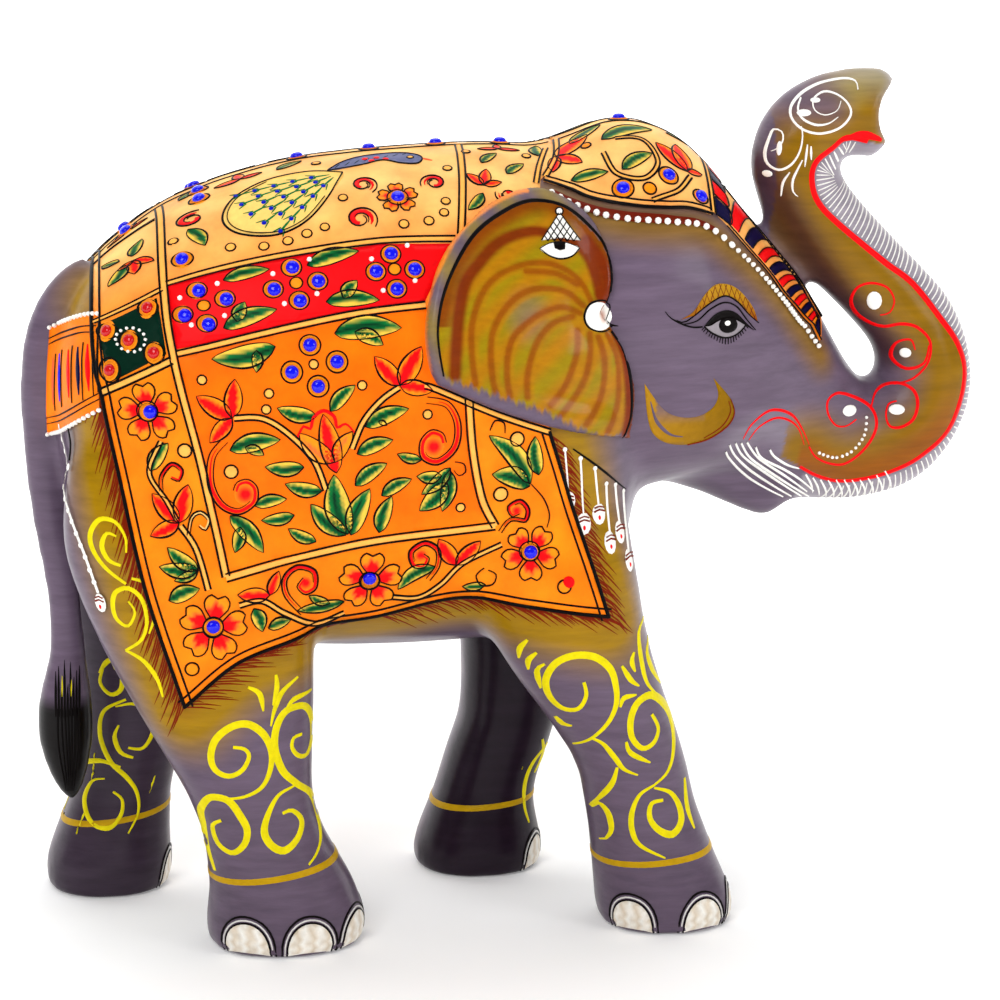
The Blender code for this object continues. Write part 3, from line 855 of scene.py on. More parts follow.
def cloth_colour(x, v):
    """Orange gold on the side, with painted light making it paler over the back, and a worn mottle."""
    # painted light: the gold grows paler up over the back, where the light falls
    up = np.clip((v - 8) / 40, 0, 1)
    mottle = 0.5 + 0.5 * np.sin(0.31 * x + 1.7 * np.sin(0.13 * v)) * np.sin(0.23 * v - 0.11 * x)
    return mix(mix(ORANGE, GOLD, 0.45 + 0.4 * mottle), PALE, up * (0.55 + 0.35 * mottle))


def panel_colour(x, v):
    mottle = 0.5 + 0.5 * np.sin(0.23 * x - 0.19 * v) * np.sin(0.17 * v + 0.1 * x)
    return mix(ORANGE, GOLD, 0.05 + 0.2 * mottle + 0.4 * np.clip((-36 - v) / 10, 0, 1))


def gold_sheet(name, chart, side, look, edge, spacing, colour=cloth_colour, panel=None):
    """One half of a sheet of gilded gesso inside an outline, and a panel laid over it."""
    base = Paint()
    base.fill(chart, edge, colour, CLOTH_LEVEL, spacing, sink=0.4)
    if panel:
        base.fill(chart, straight(panel, 1.5), panel_colour, CLOTH_LEVEL + 0.06, 2.0)
    return base.piece("gold_" + name + "_" + hand_of(side), look, "gold_gesso")


def cloth(canvas, side, look):
    edge = corners(*CLOTH_RUNS, step=1.5)
    return gold_sheet("cloth", wrapped(canvas, side), side, look, edge, 2.0, panel=PANEL)


def cloth_borders(drawn):
    """The raised lines that divide the cloth."""
    for run in CLOTH_RUNS[:3]:
        line = through(run)
        drawn.inked(beside(line, 0.2), 0.9, BLACK, smooth=False)
        drawn.inked(beside(line, 2.0), 0.5, BLACK, smooth=False)
    drawn.double([(-85.2, 66), (-85.4, 56), (-86.5, 22), (-85.2, 0), (-79.4, -26), (-74.6, -51.5)], 1.7)
    drawn.double([(-74.6, -51.8), (-59.5, -48.6), (-37.9, -44.2), (-10.4, -41.8)], 1.9)
    drawn.double([(-17.2, -9.8), (-16.4, -22), (-14, -34.5), (-10.4, -41.8)], 1.8)
    drawn.double([(-12.4, 68), (-14.5, 48), (-17, 29.5)], 1.6)
    for run in (BAND_TOP, BAND_FOOT):
        drawn.double(run, 1.6)
    drawn.double([(-102.6, 11.6), (-87, 20.2)], 1.4)
    drawn.double([(-101.4, -8.8), (-85.6, -0.8)], 1.6)
    drawn.double([(-27.6, -7.2), (-24.6, -8.2), (-10.4, -14.6), (2.4, -19.4)], 1.4)
    drawn.double([(8.2, 62), (5.2, 53.5), (3, 45.6)], 1.2)


def red_band(drawn):
    """The red band and green square of set stones."""
    band = [(-84.6, 2)] + [(x, v + 1) for x, v in BAND_FOOT[1:]] + [(-19.5, 27)]
    band += [(x, v - 1) for x, v in BAND_TOP[-2::-1]]
    drawn.fill(straight(band), RED, 0.06, 1.6)
    square = [(-101.6, 9.6), (-88.2, 17.4), (-86.8, 0.6), (-100.2, -6.8)]
    drawn.fill(straight(square), PINE, 0.06, 1.6)
    for x, v in ((-77.8, 13.8), (-56.4, 18.5), (-33.4, 20.9)):
        drawn.ring((x, v), 1.5, GOLD)
        for dx, dv in ((-5.2, 2.8), (3.4, 6.0), (-3, -5.3), (4.6, -3.1)):
            drawn.dot((x + dx, v + dv), 0.62, WHITE, 0.6, 8)
    leaves = [
        ((-73, 20.6), (-62.3, 22.6)), ((-53.6, 22.9), (-41.4, 26)), ((-49.8, 13.2), (-37.4, 13.2)),
        ((-73.6, 7.4), (-61.2, 11.8)),
    ]
    drawn.leaves(0.34, *leaves)
    drawn.leaves(0.6, ((-70.5, 9), (-68.4, 14.2)), ((-45.8, 14), (-42.3, 18.4)))
    for k in range(14):
        angle = 2 * math.pi * k / 14
        at = (-94.5 + 3.3 * math.cos(angle), 4.6 + 3.7 * math.sin(angle))
        drawn.dot(at, 0.4, WHITE, 0.5, 8)


def central_panel(drawn):
    """A tulip on a fan of leaves, between two scrolled tendrils that end in trefoils."""
    drawn.double([(-71.9, -13.9), (-65.5, -14.0), (-59.6, -17.6), (-53.8, -23.9), (-50.9, -31.2)], 1.3)
    drawn.double([(-33.6, -7.4), (-37.8, -10.3), (-42, -15.1), (-44.8, -21.5)], 1.3)
    drawn.trefoil((-72.4, -13.8), (-71.5, -4.9), (-80.4, -8.8), (-77.6, -19.6))
    drawn.trefoil((-33.4, -6.9), (-39.2, -0.2), (-28.1, 1.8), (-25.6, -8.4))
    left = [
        (-74.6, -18.5), (-77.8, -22.6), (-78.2, -29.6), (-75.6, -35), (-71.2, -36.9),
        (-67.2, -34.4), (-66.7, -30.6), (-68.8, -28.4), (-71.4, -29), (-72.4, -31),
    ]
    drawn.scroll(left, 1, 1.5, ball=(-69.6, -32), head=2.9)
    right = [
        (-27, -9.8), (-21.8, -11.2), (-19.2, -16.2), (-20, -22.3), (-24.4, -25.9), (-28.4, -24.4),
        (-28.8, -20.3), (-26.3, -17.6), (-23.4, -18.4), (-22.6, -20.6),
    ]
    drawn.scroll(right, -1, 1.5, ball=(-25.6, -21.6), head=2.9)
    drawn.petal((-48.4, -27.2), (-51.4, -13.2), 0.34)
    for tip in ((-57, -17.6), (-44.6, -17.4)):
        drawn.leaf((-48.8, -24.6), tip, 0.42, CORAL, GOLD, GOLD)
    crown = [
        (-57.4, -18.4), (-56, -16), (-54.4, -16.6), (-53.6, -13.9), (-51.2, -12.4), (-48.8, -13.9),
        (-48.2, -16.4), (-46.2, -15.6), (-44.2, -17.6),
    ]
    drawn.line(crown, 0.9, RED)
    lone = [
        ((-53, -13.7), (-62, -11.6)), ((-49.7, -12.6), (-43.8, -6.6)), ((-56, -25.6), (-65, -25.4)),
        ((-51.8, -31.5), (-60.4, -29.6)), ((-58.2, -37.2), (-65.9, -38.4)),
        ((-67.4, -34.8), (-60, -33.2)), ((-43.6, -22.8), (-35.2, -19.6)),
        ((-28.4, -24.6), (-34.2, -23)), ((-44, -30.4), (-36.6, -25.2)),
        ((-37.8, -33), (-30.8, -29.2)), ((-53, -44), (-59.6, -40.6)),
        ((-46, -42.6), (-54.4, -34.6)), ((-45.6, -42.4), (-49, -27.6)),
        ((-44.8, -42.6), (-40.6, -31.2)), ((-38.2, -42.2), (-35.4, -33.2)),
    ]
    drawn.leaves(0.4, *lone)
    lobed = [
        ((-73, -21.4), (-61.4, -19), (-65.2, -22.6)),
        ((-73.2, -37.2), (-65.6, -46.4), (-72.4, -46)),
        ((-41.6, -16.4), (-31.4, -12.4), (-36.6, -16.2)),
        ((-21.6, -26.8), (-28.4, -33), (-29.6, -28.6)),
        ((-21.8, -27.4), (-23.4, -37.4), (-28.8, -37)), ((-62, 2.6), (-76.6, -0.4), (-66.6, -3.4)),
        ((-48.2, 5.4), (-32.6, 6.4), (-37, 2.4)),
    ]
    for base, tip, lobe in lobed:
        drawn.leaf(base, tip, 0.36)
        drawn.leaf(mid(base, tip, 0.3), lobe, 0.5)
    drawn.rings(1.1, (-79, -5.1), (-63.8, -8.2), (-64.5, -11.9), (-27, -13.9))
    drawn.rings(1.1, (-19, -36.6), (-42.2, -6.7), (-53.3, -1.7))
    drawn.ring((-72.8, -26.5), 1.6)
    drawn.line([(-20.6, -25.4), (-18.4, -26), (-18, -28), (-19.6, -28.8), (-20.8, -27.4)], 0.4)


def low_border(drawn):
    """The flowered border under and beside the panel."""
    drawn.flower((-77.8, -63.6), 8.0, 80)
    drawn.flower((-39.7, -54.9), 7.6, 88)
    drawn.flower((-91.3, -12.8), 6.8, 100)
    drawn.flower((-1.7, -48.9), 6.8, 55)
    drawn.double([(-71.6, -58.6), (-66.2, -58.0), (-60.6, -61.8), (-52.3, -66.3), (-45.2, -63.8)], 1.2)
    left = [
        (-56.8, -62.8), (-60.8, -57.4), (-61, -52.8), (-57.3, -50), (-52.9, -51.6), (-52.5, -56.2),
        (-55.4, -57.9), (-57.6, -55.6), (-56, -53.4),
    ]
    drawn.scroll(left, -1, 1.2, ball=(-55.4, -54.8), head=2.2)
    drawn.trefoil((-64.4, -56.8), (-72, -56), (-62, -51.2))
    drawn.leaf((-87.9, -56.7), (-80.8, -54), 0.5)
    drawn.leaf((-68.2, -59.6), (-66.2, -65.4), 0.55)
    drawn.leaf((-64.8, -64.8), (-59.4, -63.6), 0.5)
    drawn.leaf((-45.6, -60.4), (-57.6, -61.6), 0.26)
    drawn.leaf((-49, -60.8), (-54.6, -58.2), 0.4)
    drawn.double([(-34, -59.6), (-27.9, -60), (-22.7, -56.6), (-17.6, -51), (-8.6, -46.6)], 1.2)
    right = [
        (-25.4, -55.4), (-23.3, -51.6), (-23.6, -47), (-27.2, -44.8), (-30.8, -47.2), (-30, -51.2),
        (-27, -51.8), (-25.9, -49.4), (-27.4, -48),
    ]
    drawn.scroll(right, 1, 1.1, ball=(-28, -48.4), head=2.0)
    drawn.leaf((-24.4, -51.6), (-33, -57.4), 0.36, bend=-0.14)
    drawn.trefoil((-19.4, -51.4), (-24, -44.4), (-13.8, -45.4))
    drawn.leaf((-11.7, -57.1), (-17.4, -57.4), 0.4)
    curl = [(-12.4, -52.6), (-14.2, -54.6), (-12.8, -57.2), (-10, -57), (-9.4, -54.4), (-11.4, -53.2)]
    drawn.line(curl, 0.45)
    for at in ((-82.8, -73.5), (6.2, -57.2)):
        drawn.ring(at, 1.6, GOLD)
    drawn.boss((7.2, -56.2), 1.5, RED, 0.5, 12)


def rear_border(drawn):
    """The climbing tendril on the rear border."""
    drawn.double([(-88.6, -19.4), (-91.4, -27), (-87.8, -33.6), (-85.6, -38)], 1.0)
    drawn.double([(-84.8, -39.4), (-81.3, -45), (-78.8, -54.4)], 1.3)
    drawn.trefoil((-85.1, -38.7), (-82.6, -29.6), (-91, -32), (-91.8, -41.6))
    drawn.leaf((-91.2, -26.5), (-87, -19.8), 0.44)
    drawn.ring((-83.3, -21.5), 1.6)
    high = [(-89.2, -31.4), (-89, -27.6), (-86.4, -24.4), (-83.8, -26), (-84.6, -28.8), (-86.6, -28.2)]
    drawn.scroll(high, -1, 0.8)
    low = [(-83.4, -41.6), (-82.4, -37.4), (-80, -36), (-77.9, -38), (-79, -40.6), (-80.6, -39.6)]
    drawn.scroll(low, -1, 0.7, PALE)
    for tip in ((-88, -44.2), (-90, -48.6), (-86.6, -52)):
        drawn.leaf((-81, -49.6), tip, 0.4)


def front_border(drawn):
    """The leaves and scroll on the front border."""
    drawn.leaf((-2.2, -31.6), (-12.4, -19.4), 0.3, bend=-0.1)
    drawn.leaf((-2.4, -32.2), (-11.6, -28.8), 0.5, bend=-0.1)
    drawn.leaf((-0.2, -29.6), (-1.2, -20.2), 0.4)
    drawn.rings(1.7, (-5.6, -20.6), (-9.4, -33.8))
    drawn.line([(-12.2, -18.2), (-11, -16), (-8.8, -16.6), (-8.6, -19)], 0.45)
    drawn.line([(-2, -31.8), (1.2, -35.6), (2.8, -39.8), (2.2, -43)], 0.4)
    foot = [
        (-8.8, -43.6), (-6.6, -40.8), (-2.9, -41.2), (-2.2, -38), (-4.6, -35.4), (-7.6, -37),
        (-6.6, -39.6), (-4.6, -39),
    ]
    drawn.scroll(foot, 1, 0.9, ball=(-5.4, -38.2), head=1.8)


def top_panel(drawn):
    """Birds and blossoms over the back."""
    bird = [
        (-42.5, 53), (-46.9, 43.6), (-53.1, 35.6), (-60.5, 32.6), (-68.6, 34.8), (-71.8, 41.5),
        (-68.3, 50), (-60.6, 55), (-51.1, 55.6),
    ]
    drawn.fill(through(bird, 1.2, closed=True), mix(PALE, LEAF_RIM, 0.4), 0.05, 1.6)
    drawn.line(bird + bird[:1], 0.6)
    drawn.line([mid(p, (-58, 44), 0.08) for p in bird[1:-1]], 0.3)
    for reach, feathers in ((6.5, 3), (11.0, 4), (15.5, 5), (20.0, 6), (24.5, 5)):
        for k in range(feathers):
            angle = math.radians(208 + (k / (feathers - 1) - 0.5) * 46)
            way = Vector((math.cos(angle), math.sin(angle)))
            tip = Vector((-43.6, 52.6)) + way * reach
            drawn.brush([tip, tip - way * 4.4], 0.8, GREEN, (1, 0.2))
            for spread in (-1, 1):
                barb = Vector((-way.y, way.x)) * spread
                drawn.brush([tip + barb * 0.5 - way, tip + way * 1.2 + barb * 1.5], 0.5, GREEN, (1, 0.3))
            drawn.dot(tip, 0.62, mix(BLUE, PINE, 0.4), 0.2, 8)
    neck = [
        (-46, 54.6), (-41, 59.6), (-34, 62.6), (-27, 62.4), (-23, 58.4), (-24.2, 54.8),
        (-28.4, 55.4), (-32.4, 57.6), (-37.6, 56),
    ]
    drawn.fill(through(neck, 1.0, closed=True), NECK_GREY, 0.08, 1.2)
    drawn.line(neck + neck[:1], 0.5)
    for k in range(8):
        drawn.brush([(-44 + 2.4 * k, 55.6 + 0.7 * k), (-42.6 + 2.4 * k, 57.6 + 0.6 * k)], 0.35, PINE)
    for at in ((-36.4, 59.2), (-33.6, 59.4), (-35, 57.6), (-31.6, 58)):
        drawn.dot(at, 0.8, RED, 0.2, 8)
    drawn.ring((-25.6, 58.2), 0.8)
    drawn.brush([(-23, 57.4), (-20.6, 55.8)], 0.9, CORAL)
    drawn.flower((-30.8, 41.3), 4.9, 20)
    drawn.curl((-40.2, 35.2), 4.2, -40)
    drawn.curl((-38.4, 46.6), 3.6, -60)
    drawn.curl((-21.6, 45.8), 3.4, 200, -1)
    drawn.rings(1.2, (-83.4, 37.4), (-70.7, 30.6), (-63.1, 29.6), (-57.5, 30.4))
    drawn.rings(1.2, (-53, 32), (-30.2, 33), (-24.2, 33.6))
    drawn.rings(1.1, (-48.7, 33.5), (-20.4, 35.8), (-19.6, 39.3), (-43.6, 42.5))
    drawn.rings(1.1, (-17.6, 51.4), (-48, 60.4))
    drawn.leaf((-79.8, 40.6), (-76.4, 32.6), 0.44)
    drawn.curl((-78.8, 45.2), 4.2, 60)
    drawn.trefoil((-92.6, 35.4), (-92.6, 28.4), (-88, 31.6), (-96.2, 33))
    drawn.leaves(0.4, ((-92.6, 38), (-90, 45.6)), ((-94.4, 34.6), (-98.6, 26.8)))
    drawn.leaf((-95.6, 38.6), (-99.4, 43.6), 0.4)
    drawn.double([(-101, 55.6), (-94, 55.4), (-86.6, 55)], 1.0)
    drawn.trefoil((-92.4, 62.6), (-97.6, 61), (-92, 67.6), (-88, 61.6))
    drawn.trefoil((-66, 61), (-72.4, 60), (-66.6, 67), (-60.8, 61.6))
    drawn.leaves(0.44, ((-57.4, 60.8), (-51, 64.6)), ((-80.6, 61.6), (-75, 66.6)))
    drawn.line([(-102, 66.8), (-60, 67.6), (-14, 67.8), (10, 67.6)], 0.5)


def front_top_panel(drawn):
    """Blossoms over the shoulders, between the cloth's front line and the cap."""
    drawn.trefoil((-9.8, 44.4), (-13.4, 48.6), (-8.4, 50.4), (-5.4, 45.4))
    drawn.leaves(0.4, ((-10.4, 41.6), (-14.6, 36.4)), ((-9, 53.6), (-4.6, 58.6)))
    drawn.leaf((-3.6, 48.6), (1.2, 53.4), 0.42)
    drawn.curl((-4.6, 41), 3.0, 160)
    drawn.trefoil((-3.6, 62.4), (-8.6, 62.4), (-3.4, 66.6), (1.6, 61.6))
    drawn.rings(1.1, (2.6, 57.8), (-11.8, 60.2))
    drawn.leaf((5.6, 57.8), (6.4, 65.6), 0.4)


CLOTH_PARTS = (cloth_borders, red_band, central_panel, low_border)
CLOTH_PARTS += (rear_border, front_border, top_panel, front_top_panel)


def cloth_pattern(canvas, side, look):
    drawn = Pattern(wrapped(canvas, side), CLOTH_LEVEL + 0.04)
    for part in CLOTH_PARTS:
        part(drawn)
    settings(drawn, side)
    drawn.pieces("cloth", side, look, "gold_gesso")


# ---- the head ----

CAP_EDGE = [
    (5.1, 47), (7.6, 45.6), (11.1, 43), (15.1, 39.6), (20.9, 36.8), (27, 35.4), (33.3, 35.3),
    (38.2, 36), (44.9, 36.4),
]
STRIP_CELLS = 10  # red and navy blocks down the forehead
HEAD_BEADS = [
    (6.4, 42.4), (9.6, 39.6), (13.6, 36.6), (18.4, 34), (25, 32.2), (34.4, 31.8), (40.8, 32.2),
    (45.1, 31.4), (49.6, 28.8), (55.8, 24.4), (60.4, 19), (64.7, 12), (69.5, 1), (74.9, -6.2),
]


def cap(canvas, side, look):
    front = [(44.9, 36.4), (46, 44), (47.4, 56), (47.6, RIDGE)]
    back = [(12, RIDGE), (10, 59), (8, 53), (5.1, 47)]
    edge = corners(CAP_EDGE, front, [front[-1], back[0]], back, step=1.3)
    return gold_sheet("cap", wrapped(canvas, side), side, look, edge, 1.6)


def cap_pattern(canvas, side, look):
    """The gold cap: tendrils, blossoms and stones over a beaded edge."""
    drawn = Pattern(wrapped(canvas, side), CLOTH_LEVEL + 0.04)
    drawn.inked(CAP_EDGE, 0.9, BLACK)
    drawn.inked(beside(through(CAP_EDGE), 1.5), 0.45, BLACK, smooth=False)
    drawn.double([(5.6, 48), (9.6, 56), (12, 68)], 1.3)
    drawn.double([(45.2, 37), (45.6, 44.2), (46.4, 54), (47.4, 66)], 1.1)
    under_beads = beside(through(HEAD_BEADS[:8]), 0.6)
    drawn.tinted(under_beads, 2.4, BROWN, 0.08, (0.6, 0.6), smooth=False)
    drawn.beads(HEAD_BEADS[:9], 2.45, 0.82)
    drawn.beads(HEAD_BEADS[8:], 1.7, 0.58)
    drawn.trefoil((9.6, 56), (18.6, 62.6), (15.2, 50.6), (7.8, 49.4))
    drawn.double([(20.4, 52), (22.2, 44.6), (28.4, 42.6), (32.6, 47.6), (30.4, 55), (24, 56.4)], 1.0)
    drawn.leaves(0.4, ((21, 57.4), (34, 61.4)), ((23.7, 45.4), (31.6, 50.2)))
    drawn.leaves(0.4, ((11.6, 45.4), (20.4, 45.4)), ((14, 60.6), (22.6, 66.4)))
    drawn.trefoil((39.8, 47), (33.4, 54.6), (38.8, 57), (44, 48.6))
    drawn.double([(29.6, 36.8), (36.4, 40.2), (40.4, 45.6)], 1.0)
    drawn.leaf((38, 63.4), (44, 66.4), 0.4)
    for at, size in (((23.1, 40.2), 3.0), ((34.6, 44.0), 2.8), ((42.2, 40.3), 2.3)):
        drawn.setting(at, size * 0.85)
        drawn.gem(at)
    drawn.ring((29.4, 39.9), 1.6, GOLD)
    drawn.ring((17.2, 57), 1.2, GOLD)
    drawn.line([(12.6, 67.6), (30, 67.8), (47, 67.4)], 0.5)
    drawn.pieces("cap", side, look, "gold_gesso")


STRIP_LOW = [
    (49.3, 35.6), (52.7, 33), (57.7, 28.4), (61.4, 23.9), (64.9, 17), (68.1, 11.4), (71.4, 3.9),
    (75.2, -4),
]
STRIP_HIGH = [
    (50.9, 56), (55.5, 54.5), (59.6, 52.5), (62.6, 50), (65.4, 47), (69.1, 39), (73, 20), (76, 2),
]
STRIP_EDGE = [
    (53.4, RIDGE), (54.6, 63.5), (58.6, 61.5), (62, 58.5), (65.4, 56), (69.4, 50), (72.8, 40),
    (75.2, 20), (77.4, 2),
]


def forehead(canvas, side, look):
    """The gold strip down from the forehead's ridge to the cheek."""
    foot = [(45.4, 38), *STRIP_LOW]
    back = [(48.6, RIDGE), (48.4, 56), (45.4, 38)]
    end, ridge = [foot[-1], STRIP_EDGE[-1]], [STRIP_EDGE[0], back[0]]
    edge = corners(foot, end, STRIP_EDGE[::-1], ridge, back, step=1.2)
    return gold_sheet("forehead", wrapped(canvas, side), side, look, edge, 1.3)


def forehead_pattern(canvas, side, look):
    """Red and navy blocks between gold bars down the forehead, with a notched gold edge."""
    drawn = Pattern(wrapped(canvas, side), CLOTH_LEVEL + 0.04)
    low, high = np.array(through(STRIP_LOW, 0.4)), np.array(through(STRIP_HIGH, 0.4))

    def at(t, s):
        a, b = (line[int(min(t, 1) * (len(line) - 1))] for line in (low, high))
        return tuple(a + (b - a) * s)

    for k in range(STRIP_CELLS):
        near, far = k / STRIP_CELLS + 0.02, (k + 1) / STRIP_CELLS - 0.02
        quad = [at(near, 0.06), at(far, 0.06), at(far + 0.04, 0.94), at(near + 0.04, 0.94)]
        drawn.fill(straight(quad, 0.8), NAVY if k % 2 else RED, 0.1, 0.9)
        drawn.line(quad[1:3], 0.35)
        drawn.line([quad[0], quad[3]], 0.35)
    for k in range(5):
        foot = 37 + 6.8 * k
        cell = [
            (46 + 0.4 * k, foot), (50 + 0.2 * k, foot - 1), (50.3 + 0.2 * k, foot + 4.8),
            (46.4 + 0.4 * k, foot + 5.8),
        ]
        drawn.fill(straight(cell, 0.8), RED if k % 2 else NAVY, 0.1, 0.9)
        drawn.line(cell + cell[:1], 0.35)
    drawn.line(STRIP_LOW, 0.5)
    drawn.line(beside(through(STRIP_LOW), -1.2), 0.4)
    drawn.line(STRIP_HIGH, 0.5)
    drawn.inked(STRIP_EDGE, 1.3, BLACK)
    for x, v in beside(through(STRIP_EDGE, 2.0), -2.2)[2:-1]:
        drawn.dot((x, v), 0.45, BLACK, 0.2, 6)
    drawn.pieces("forehead", side, look, "gold_gesso")


UPPER_LID = [(41.4, 4.2), (44.1, 7.5), (47.3, 8.9), (50.1, 7.9), (52.7, 4.7), (55, 1.9)]
LOWER_LID = [(41.6, 4.1), (43.2, 2.4), (46.4, 0.5), (49.2, 0.6), (51.5, 2.3), (52.9, 4.4)]
BROW_TOP = [
    (35.4, 6.4), (38.7, 8.6), (41.4, 13), (44.1, 16), (46.9, 16.8), (50.2, 15.9), (53.1, 12.9),
    (55.2, 8.9), (56.1, 4.7),
]
BROW_FOOT = [(56.1, 4.7), (53.5, 7.6), (50.6, 11.4), (47.2, 13.2), (43.1, 11), (39.6, 7.9), (35.4, 6.4)]


def face_pattern(canvas, side, look):
    """The lined and lashed eye under a netted brow, and the cheek's golden crescent."""
    drawn = Pattern(wrapped(canvas, side), 0.0, 0.45)
    brow = through(BROW_TOP) + through(BROW_FOOT)[1:-1]
    drawn.fill(brow, lambda u, v: mix(OCHRE, BROW_GOLD, (v - 5) / 9), 0.1, 0.8)
    edge = np.array([tuple(p) for p in brow])
    for k in range(16):
        u = 35 + 1.5 * k
        for lean in (-5.0, 4.0):
            net = np.array([(u + lean * t, 4 + 14 * t) for t in np.linspace(0, 1, 30)])
            kept = net[within(net, edge)]
            if len(kept) > 2:
                drawn.inked(kept, 0.2, BROWN, 0.05, smooth=False)
    under = [(51.8, 4.4), (50.2, 5.6), (47.6, 6.4), (45, 5.6), (43.2, 4.4)]
    lid = corners(UPPER_LID, [UPPER_LID[-1], *under, UPPER_LID[0]], step=0.6)
    drawn.blot(lid, BLACK, 0.12, 0.8)
    over = [(50, 6.8), (47.2, 7.6), (44.4, 6.4)]
    white = corners(LOWER_LID, [LOWER_LID[-1], *over, LOWER_LID[0]], step=0.6)
    drawn.fill(white, mix(LILAC, WHITE, 0.2), 0.08, 0.8)
    drawn.blot(circle((47.8, 4.3), 2.5, 20), BLACK, 0.12, 0.8)
    # painted highlight: a white dot on the black iris
    drawn.dot((47.6, 4.9), 0.75, WHITE, 0.35, 10, (1.2, 0.9))
    drawn.line(LOWER_LID, 0.6, taper=(0.8, 0.8))
    lashes = np.array(through(LOWER_LID, 0.75))
    for k, (u, v) in enumerate(lashes):
        spread = (k / (len(lashes) - 1) - 0.5) * 1.6
        drawn.line([(u, v), (u + spread, v - 1.7 + 0.9 * abs(spread))], 0.28)
    drawn.line([(31.5, 8.8), (33, 6.9), (36.1, 5.0), (38.7, 4.1), (41, 4.1)], 0.5, taper=(0.3, 1))
    fold = [(35.8, 5.0), (39.6, 5.9), (43.1, 9.2), (46.9, 11.2), (50.2, 10), (53, 5.7), (55.4, 2.0)]
    drawn.line(fold, 0.5)
    drawn.line([(34.3, 6.3), (36.9, 5.9), *BROW_FOOT[-3:0:-1], (56.4, 4.3)], 0.55)
    outer = [
        (26.8, -9.8), (28, -17.6), (30, -22.8), (33.9, -25.8), (39.6, -26.8), (44.9, -25.6),
        (49.4, -22.3), (50.7, -18.8), (49.3, -15.1), (44.3, -9.4),
    ]
    inner = [
        (44.3, -9.4), (45.9, -13.8), (44.7, -17.2), (40.9, -19.2), (35.9, -18.8), (31.7, -16.3),
        (26.8, -9.8),
    ]
    drawn.fill(corners(outer, inner, step=0.8), crescent_colour, 0.08, 0.8)
    drawn.brush([(28.6, -14.4), (30.6, -19.6), (34.4, -23.4), (38, -24.4)], 1.2, LILAC)
    drawn.line(outer[4:9], 0.4, RUST)
    drawn.line([(48.8, -15.6), (49.6, -18.6), (47.8, -22.4), (43.6, -25.2)], 0.3, RUST)
    drawn.pieces("face", side, look)


def crescent_colour(u, v):
    worn = 0.7 * np.clip((v + 21) / 4, 0, 1) * (u > 30) * (u < 43)
    return mix(mix(BROW_GOLD, OLIVE, (u - 26) / 22), LILAC, worn)


# ---- the trunk ----

RED_EDGE = [
    (89, 194.0), (83.5, 195), (80, 192.4), (76, 189.7), (74.5, 186.6), (74.9, 182.1), (76.9, 178.3),
    (80.9, 174.3), (87.3, 169), (94.1, 163.6), (101.1, 158.4), (108.2, 149.8), (113.8, 142),
    (115.4, 134), (111.6, 121.8), (103.8, 115), (96.5, 111.6), (89, 109.8), (82, 109.5),
    (76, 111.4), (71, 114.3),
]


RED_SCROLLS = [
    [
        (72.4, 120), (74.6, 117), (78, 115), (82.3, 114.2), (86.2, 116.2), (89.7, 119.9),
        (91.5, 124), (90.4, 127.8), (85.9, 130.7), (80.3, 132.7), (77.1, 131.3), (77.2, 128),
        (79.6, 124.8), (82.7, 124.2), (85.7, 125.5),
    ],
    [
        (90.4, 127.6), (92.2, 130.4), (95.6, 132.7), (98.8, 133.2), (101.5, 131.6), (102.3, 128.3),
        (101, 124.6), (97.9, 122.8), (95, 123.1), (94.2, 125.6), (95.2, 128.2), (97.3, 129),
    ],
    [
        (97.2, 132.9), (101.4, 134.6), (105, 138.8), (105.4, 144), (102, 147.6), (98, 148.4),
        (94.1, 147.6), (90.7, 148.6), (87.6, 151), (86, 154.4), (86.9, 157.7), (90.1, 158.9),
        (94.2, 157.7), (96.1, 154.5), (95.2, 151.4), (93, 150.6),
    ],
    [
        (105.2, 143), (104, 138.6), (99.8, 137), (96.8, 139.6), (97.4, 143.4), (100.6, 144.4),
        (101.8, 141.8),
    ],
]
WHITE_SCROLLS = [
    [
        (84.9, 206.6), (84.7, 208.6), (82, 209.2), (76.3, 208.1), (71.6, 205.7), (68.7, 202.6),
        (68.5, 199.7), (70.9, 197.2), (75.3, 196.2), (80.1, 197.5), (82.7, 200.6), (82.1, 203.4),
        (79.6, 205.6), (76.6, 206.2), (73.9, 204.4), (73.9, 201.9), (76.3, 200.7), (79.3, 201.7),
        (80.4, 204),
    ],
    [(71.2, 204.7), (70.1, 202.3), (70.7, 200), (73.7, 198.4), (77.1, 198.6), (79.6, 200.2)],
    [
        (70.4, 198), (70.7, 195.7), (70, 191.9), (68, 188.7), (65.2, 187.3), (62.9, 188.6),
        (62.4, 191.3), (63.3, 194.6), (64.4, 197), (66, 196.6), (66.2, 194.8), (65.2, 192.8),
        (63.6, 191.8),
    ],
    [(67.7, 186.8), (66.2, 184.2), (66, 180.8)],
    [(70.7, 189.8), (68.5, 185.1), (68.6, 182), (69.8, 180.8)],
    [(71.9, 193.6), (71.3, 188.1)],
    [(72.8, 193.2), (72.9, 189.8)],
]
MOUTH_CREASES = [
    [(50.5, -29.9), (52.8, -33.0), (60.2, -39.8), (69.4, -45.2)],
    [(51.0, -27.9), (53.7, -31.8), (60.8, -38.1), (71.6, -45.2)],
    [(52.5, -27.5), (55.7, -31.9), (63.5, -37.9), (74.4, -45.4)],
    [(54.0, -27.6), (57.9, -32.7), (66.3, -38.9), (76.4, -45.6)],
    [(55.5, -27.5), (59.9, -32.7), (68.5, -38.8), (75, -43.6)],
    [(58.2, -29.1), (60.8, -32.8), (67.5, -36.6), (72, -39.6), (76.6, -43.4)],
    [(62.1, -30.1), (63.6, -32.2), (67.6, -35.0), (71.0, -36.2)],
]
